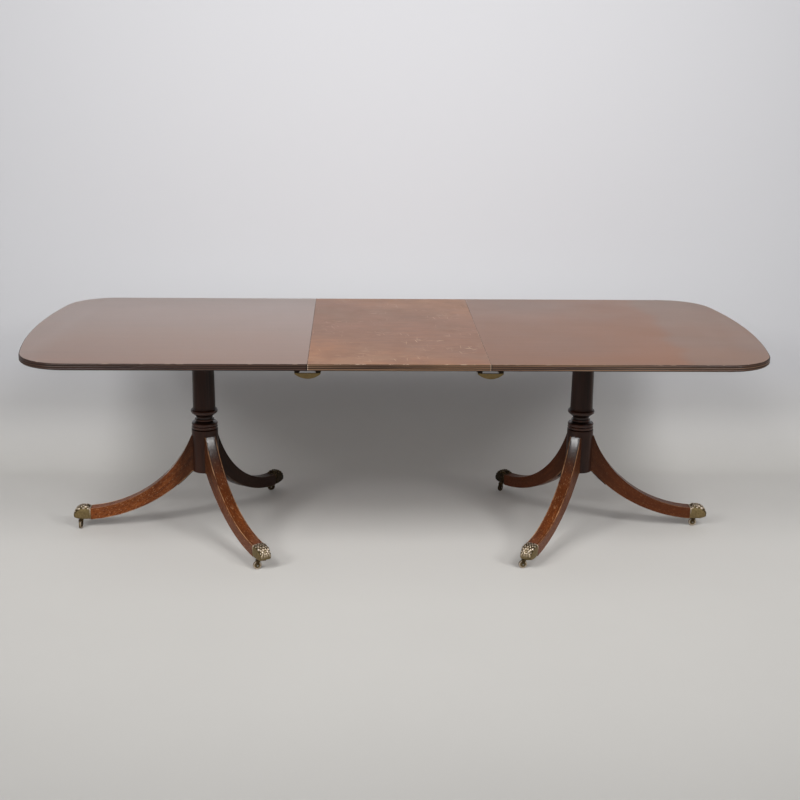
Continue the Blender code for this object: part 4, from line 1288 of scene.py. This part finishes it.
def place_camera(stage):
    yaw, pitch, roll = stage.camera_yaw, stage.camera_pitch, stage.camera_roll
    forward = Vector((math.sin(yaw) * math.cos(pitch), math.cos(yaw) * math.cos(pitch), -math.sin(pitch)))
    right = Vector((math.cos(yaw), -math.sin(yaw), 0))
    up = right.cross(forward)
    leaning_right = math.cos(roll) * right + math.sin(roll) * up
    leaning_up = math.cos(roll) * up - math.sin(roll) * right
    camera = bpy.data.objects.new("camera", bpy.data.cameras.new("camera"))
    camera.data.lens = stage.lens
    turn = Matrix((leaning_right, leaning_up, -forward)).transposed()
    camera.matrix_world = Matrix.Translation(stage.camera_place) @ turn.to_4x4()
    bpy.context.scene.collection.objects.link(camera)
    bpy.context.scene.camera = camera


# Operators


class MakeTops(bpy.types.Operator):
    """Make the two end sections and the leaf with their reeded edges"""

    bl_idname = "dining_table.make_tops"
    bl_label = "Make tops"

    def execute(self, context):
        sizes = context.scene.table_sizes
        colours = context.scene.table_colours
        plain = sawn_mahogany("sawn_mahogany_boards", colours, (260, 9, 9))
        # Coat, haze and warmth of each top, and how far its edge is rubbed: the right-hand one is more
        # worn, and the paler reeds of its edge partly paint their highlights; the left-hand top's stronger
        # haze partly paints its sheen
        looks = (("left", 0.92, 0.4, 0.2, 0.1), ("right", 0.2, 0.15, 0.5, 0.5))
        for side, coat, haze, warmth, rubbing_and_highlight in looks:
            bm = end_board(sizes)
            if side == "left":
                half_turn = Matrix.Rotation(math.pi, 3, "Z")
                bmesh.ops.rotate(bm, cent=(0, 0, 0), matrix=half_turn, verts=bm.verts)
            polished = polished_mahogany(f"polished_mahogany_{side}", colours, sizes, coat, haze, warmth)
            corner = (0.005, colours.edge_dark)
            edge = reeded_edge(
                f"reeded_edge_{side}", colours, colours.edge_light, rubbing_and_highlight, chips=0.4, corner=corner
            )
            finish_piece(side + "_board", bm, BODY, side + "_top", [polished, edge, plain])
        corner = (0.0015, colours.scratch)
        worn_edge = reeded_edge(
            "worn_reeded_edge", colours, colours.edge_worn, rubbing_and_highlight=0.65, chips=0.9, corner=corner
        )
        materials = [faded_mahogany(colours), worn_edge, plain]
        finish_piece("leaf_board", leaf_board(sizes), BODY, "leaf", materials)
        return {"FINISHED"}


class MakePillars(bpy.types.Operator):
    """Turn the two pillars with their rings, beads and hubs"""

    bl_idname = "dining_table.make_pillars"
    bl_label = "Make pillars"

    def execute(self, context):
        colours = context.scene.table_colours
        shaft = turned_mahogany("turned_mahogany", colours, coat=0.15, redness=0.55)
        rings = turned_mahogany("polished_rings", colours, coat=0.5, redness=0.9)
        for side in SIDES:
            bm = pillar(side)
            finish_piece(side + "_turning", bm, BODY, side + "_pillar", [shaft, rings])
        return {"FINISHED"}


class MakeLegs(bpy.types.Operator):
    """Shape the six sabre legs with their beaded panels"""

    bl_idname = "dining_table.make_legs"
    bl_label = "Make legs"

    def execute(self, context):
        sizes = context.scene.table_sizes
        colours = context.scene.table_colours
        finishes = {}
        side_coat, panel_coat, panel_hub_shade = 0.05, 1.0, 0.8
        # How much painted light each tone stands for, and how much painted shade its sides take near the
        # hub
        looks = (("pale", 1.0, 0.7), ("faded", 0.52, 0.35), ("brown", 0.2, 0.35), ("dark", 0.05, 0.35))
        for tone, painted_light, side_hub_shade in looks:
            # The darkest tone paints the left-hand rear leg in shade, on the pillars' near-black ground
            ground = colours.pillar_dark if tone == "dark" else colours.leg_dark
            sides = leg_mahogany(f"{tone}_leg_mahogany_painted_light", colours, ground, painted_light, side_coat, side_hub_shade)
            panel = leg_mahogany(f"{tone}_leg_panel_painted_light", colours, ground, painted_light, panel_coat, panel_hub_shade)
            finishes[tone] = [sides, panel]
        # Painted light and shade: each leg takes a lighter or darker copy of the finish by how much light
        # falls on it, the left-hand end leg the lightest; each tone's name only tells how light its copy is
        painted_light_tones = {
            "left_end": "pale",
            "left_front": "faded",
            "left_rear": "dark",
            "right_end": "brown",
            "right_front": "faded",
            "right_rear": "brown",
        }
        for foot, tone in painted_light_tones.items():
            bm = sabre_leg(sizes)
            bmesh.ops.transform(bm, matrix=leg_heading(foot), verts=bm.verts)
            finish_piece(foot + "_sabre_leg", bm, BODY, foot + "_leg", finishes[tone])
        return {"FINISHED"}


class MakePaws(bpy.types.Operator):
    """Cast the six lion-paw caps with their collars, curls and toes"""

    bl_idname = "dining_table.make_paws"
    bl_label = "Make paw caps"

    def execute(self, context):
        sizes = context.scene.table_sizes
        colours = context.scene.table_colours
        handled = cast_brass("cast_brass", colours, colours.brass_olive, colours.brass_bright)
        # Painted shade: the rear paws stand in the table's shadow and take a near-black copy of the brass
        tarnished = cast_brass("tarnished_cast_brass", colours, colours.brass_black, colours.brass_dark)
        for foot in FEET:
            brass = tarnished if foot.endswith("rear") else handled
            bm = paw_cap(sizes)
            bmesh.ops.transform(bm, matrix=leg_heading(foot), verts=bm.verts)
            finish_piece(foot + "_lion_paw", bm, BODY, foot + "_paw_cap", [brass])
        return {"FINISHED"}


class MakeCasters(bpy.types.Operator):
    """Make the six casters: rimmed wheels, slim-armed horns and steel axles"""

    bl_idname = "dining_table.make_casters"
    bl_label = "Make casters"

    def execute(self, context):
        sizes = context.scene.table_sizes
        colours = context.scene.table_colours
        handled = cast_brass("turned_brass", colours, colours.brass_olive, colours.brass_bright)
        # Painted shade: the rear wheels stand in the table's shadow and take a near-black copy of the brass
        tarnished = cast_brass("tarnished_turned_brass", colours, colours.brass_black, colours.brass_dark)
        # Painted shade: the horns lie in shadow under the paws and take a dark copy of the sheet brass
        shaded_horn_brass = sheet_brass("shaded_horn_brass", colours.brass_dark, colours.brass_black)
        steel = dull_metal("drawn_steel", colours.steel, colours.brass_dark)
        for foot in FEET:
            caster = foot + "_caster"
            brass = tarnished if foot.endswith("rear") else handled
            bm = wheel(JOINTS[foot + "_roll"])
            finish_piece(foot + "_rimmed_wheel", bm, foot + "_wheel", caster + "_wheel", [brass])
            bm = caster_horn(sizes, foot)
            finish_piece(foot + "_horn_arms", bm, caster, caster + "_horn", [shaded_horn_brass])
            dress(caster + "_axle", steel)
        return {"FINISHED"}


class MakeClips(bpy.types.Operator):
    """Shape the four sliding leaf clips with their half-moon finger plates"""

    bl_idname = "dining_table.make_clips"
    bl_label = "Make leaf clips"

    def execute(self, context):
        sizes = context.scene.table_sizes
        colours = context.scene.table_colours
        plate = sheet_brass("clip_brass", colours.clip_plate, colours.brass_dark)
        # The prongs take a near-black copy of the brass, painted shade under the table's edge
        prong = sheet_brass("shaded_clip_prong_brass", colours.clip_prong_shade, colours.brass_black)
        for corner in CORNERS:
            clip = corner + "_clip"
            bm = leaf_clip(sizes, clip)
            finish_piece(clip + "_plate", bm, clip + "_body", clip, [plate, prong])
        return {"FINISHED"}


class FinishUnderframe(bpy.types.Operator):
    """Finish the bearers, blocks, tongues, clip sockets and tie plates"""

    bl_idname = "dining_table.finish_underframe"
    bl_label = "Finish underframe"

    def execute(self, context):
        colours = context.scene.table_colours
        along_y = sawn_mahogany("sawn_mahogany_bearers", colours, (7, 220, 7))
        along_x = sawn_mahogany("sawn_mahogany_blocks", colours, (180, 8, 8))
        beech = sawn_beech(colours)
        sheet = sheet_brass("socket_brass", colours.brass_olive, colours.brass_dark)
        iron = dull_metal("blackened_iron", colours.iron, colours.brass_dark)
        for side in SIDES:
            for place in ("inner", "outer"):
                dress(f"{side}_{place}_bearer", along_y)
            dress(side + "_pillar_block", along_x)
            dress(side + "_tie_plate", iron)
        for corner in CORNERS:
            dress(corner + "_tongue", beech)
            for owner in ("leaf", "end"):
                dress(f"{corner}_{owner}_socket", sheet)
        return {"FINISHED"}


class SetStage(bpy.types.Operator):
    """Set up the floor, the lights and the camera"""

    bl_idname = "dining_table.set_stage"
    bl_label = "Set stage"

    def execute(self, context):
        stage = context.scene.table_stage
        context.scene.view_settings.view_transform = "Standard"
        backdrop(stage)
        light_stage(stage)
        place_camera(stage)
        return {"FINISHED"}


OPERATORS = (MakeTops, MakePillars, MakeLegs, MakePaws, MakeCasters, MakeClips, FinishUnderframe, SetStage)


class TablePanel(bpy.types.Panel):
    """Lists the table's settings and the operators that make it"""

    bl_idname = "VIEW3D_PT_dining_table"
    bl_label = "Dining table"
    bl_space_type = "VIEW_3D"
    bl_region_type = "UI"
    bl_category = "Table"

    def draw(self, context):
        for group in (context.scene.table_sizes, context.scene.table_colours, context.scene.table_stage):
            box = self.layout.box()
            for name in group.bl_rna.properties.keys():
                if name not in ("rna_type", "name"):
                    box.prop(group, name)
        for operator in OPERATORS:
            self.layout.operator(operator.bl_idname)


CLASSES = (TableSizes, TableColours, StageSettings, *OPERATORS, TablePanel)


def register():
    for cls in CLASSES:
        bpy.utils.register_class(cls)
    bpy.types.Scene.table_sizes = PointerProperty(type=TableSizes)
    bpy.types.Scene.table_colours = PointerProperty(type=TableColours)
    bpy.types.Scene.table_stage = PointerProperty(type=StageSettings)


def unregister():
    del bpy.types.Scene.table_stage
    del bpy.types.Scene.table_colours
    del bpy.types.Scene.table_sizes
    for cls in reversed(CLASSES):
        bpy.utils.unregister_class(cls)


def main():
    register()
    bpy.ops.dining_table.set_stage()
    bpy.ops.dining_table.make_tops()
    bpy.ops.dining_table.make_pillars()
    bpy.ops.dining_table.make_legs()
    bpy.ops.dining_table.make_paws()
    bpy.ops.dining_table.make_casters()
    bpy.ops.dining_table.make_clips()
    bpy.ops.dining_table.finish_underframe()


if __name__ == "__main__":
    main()
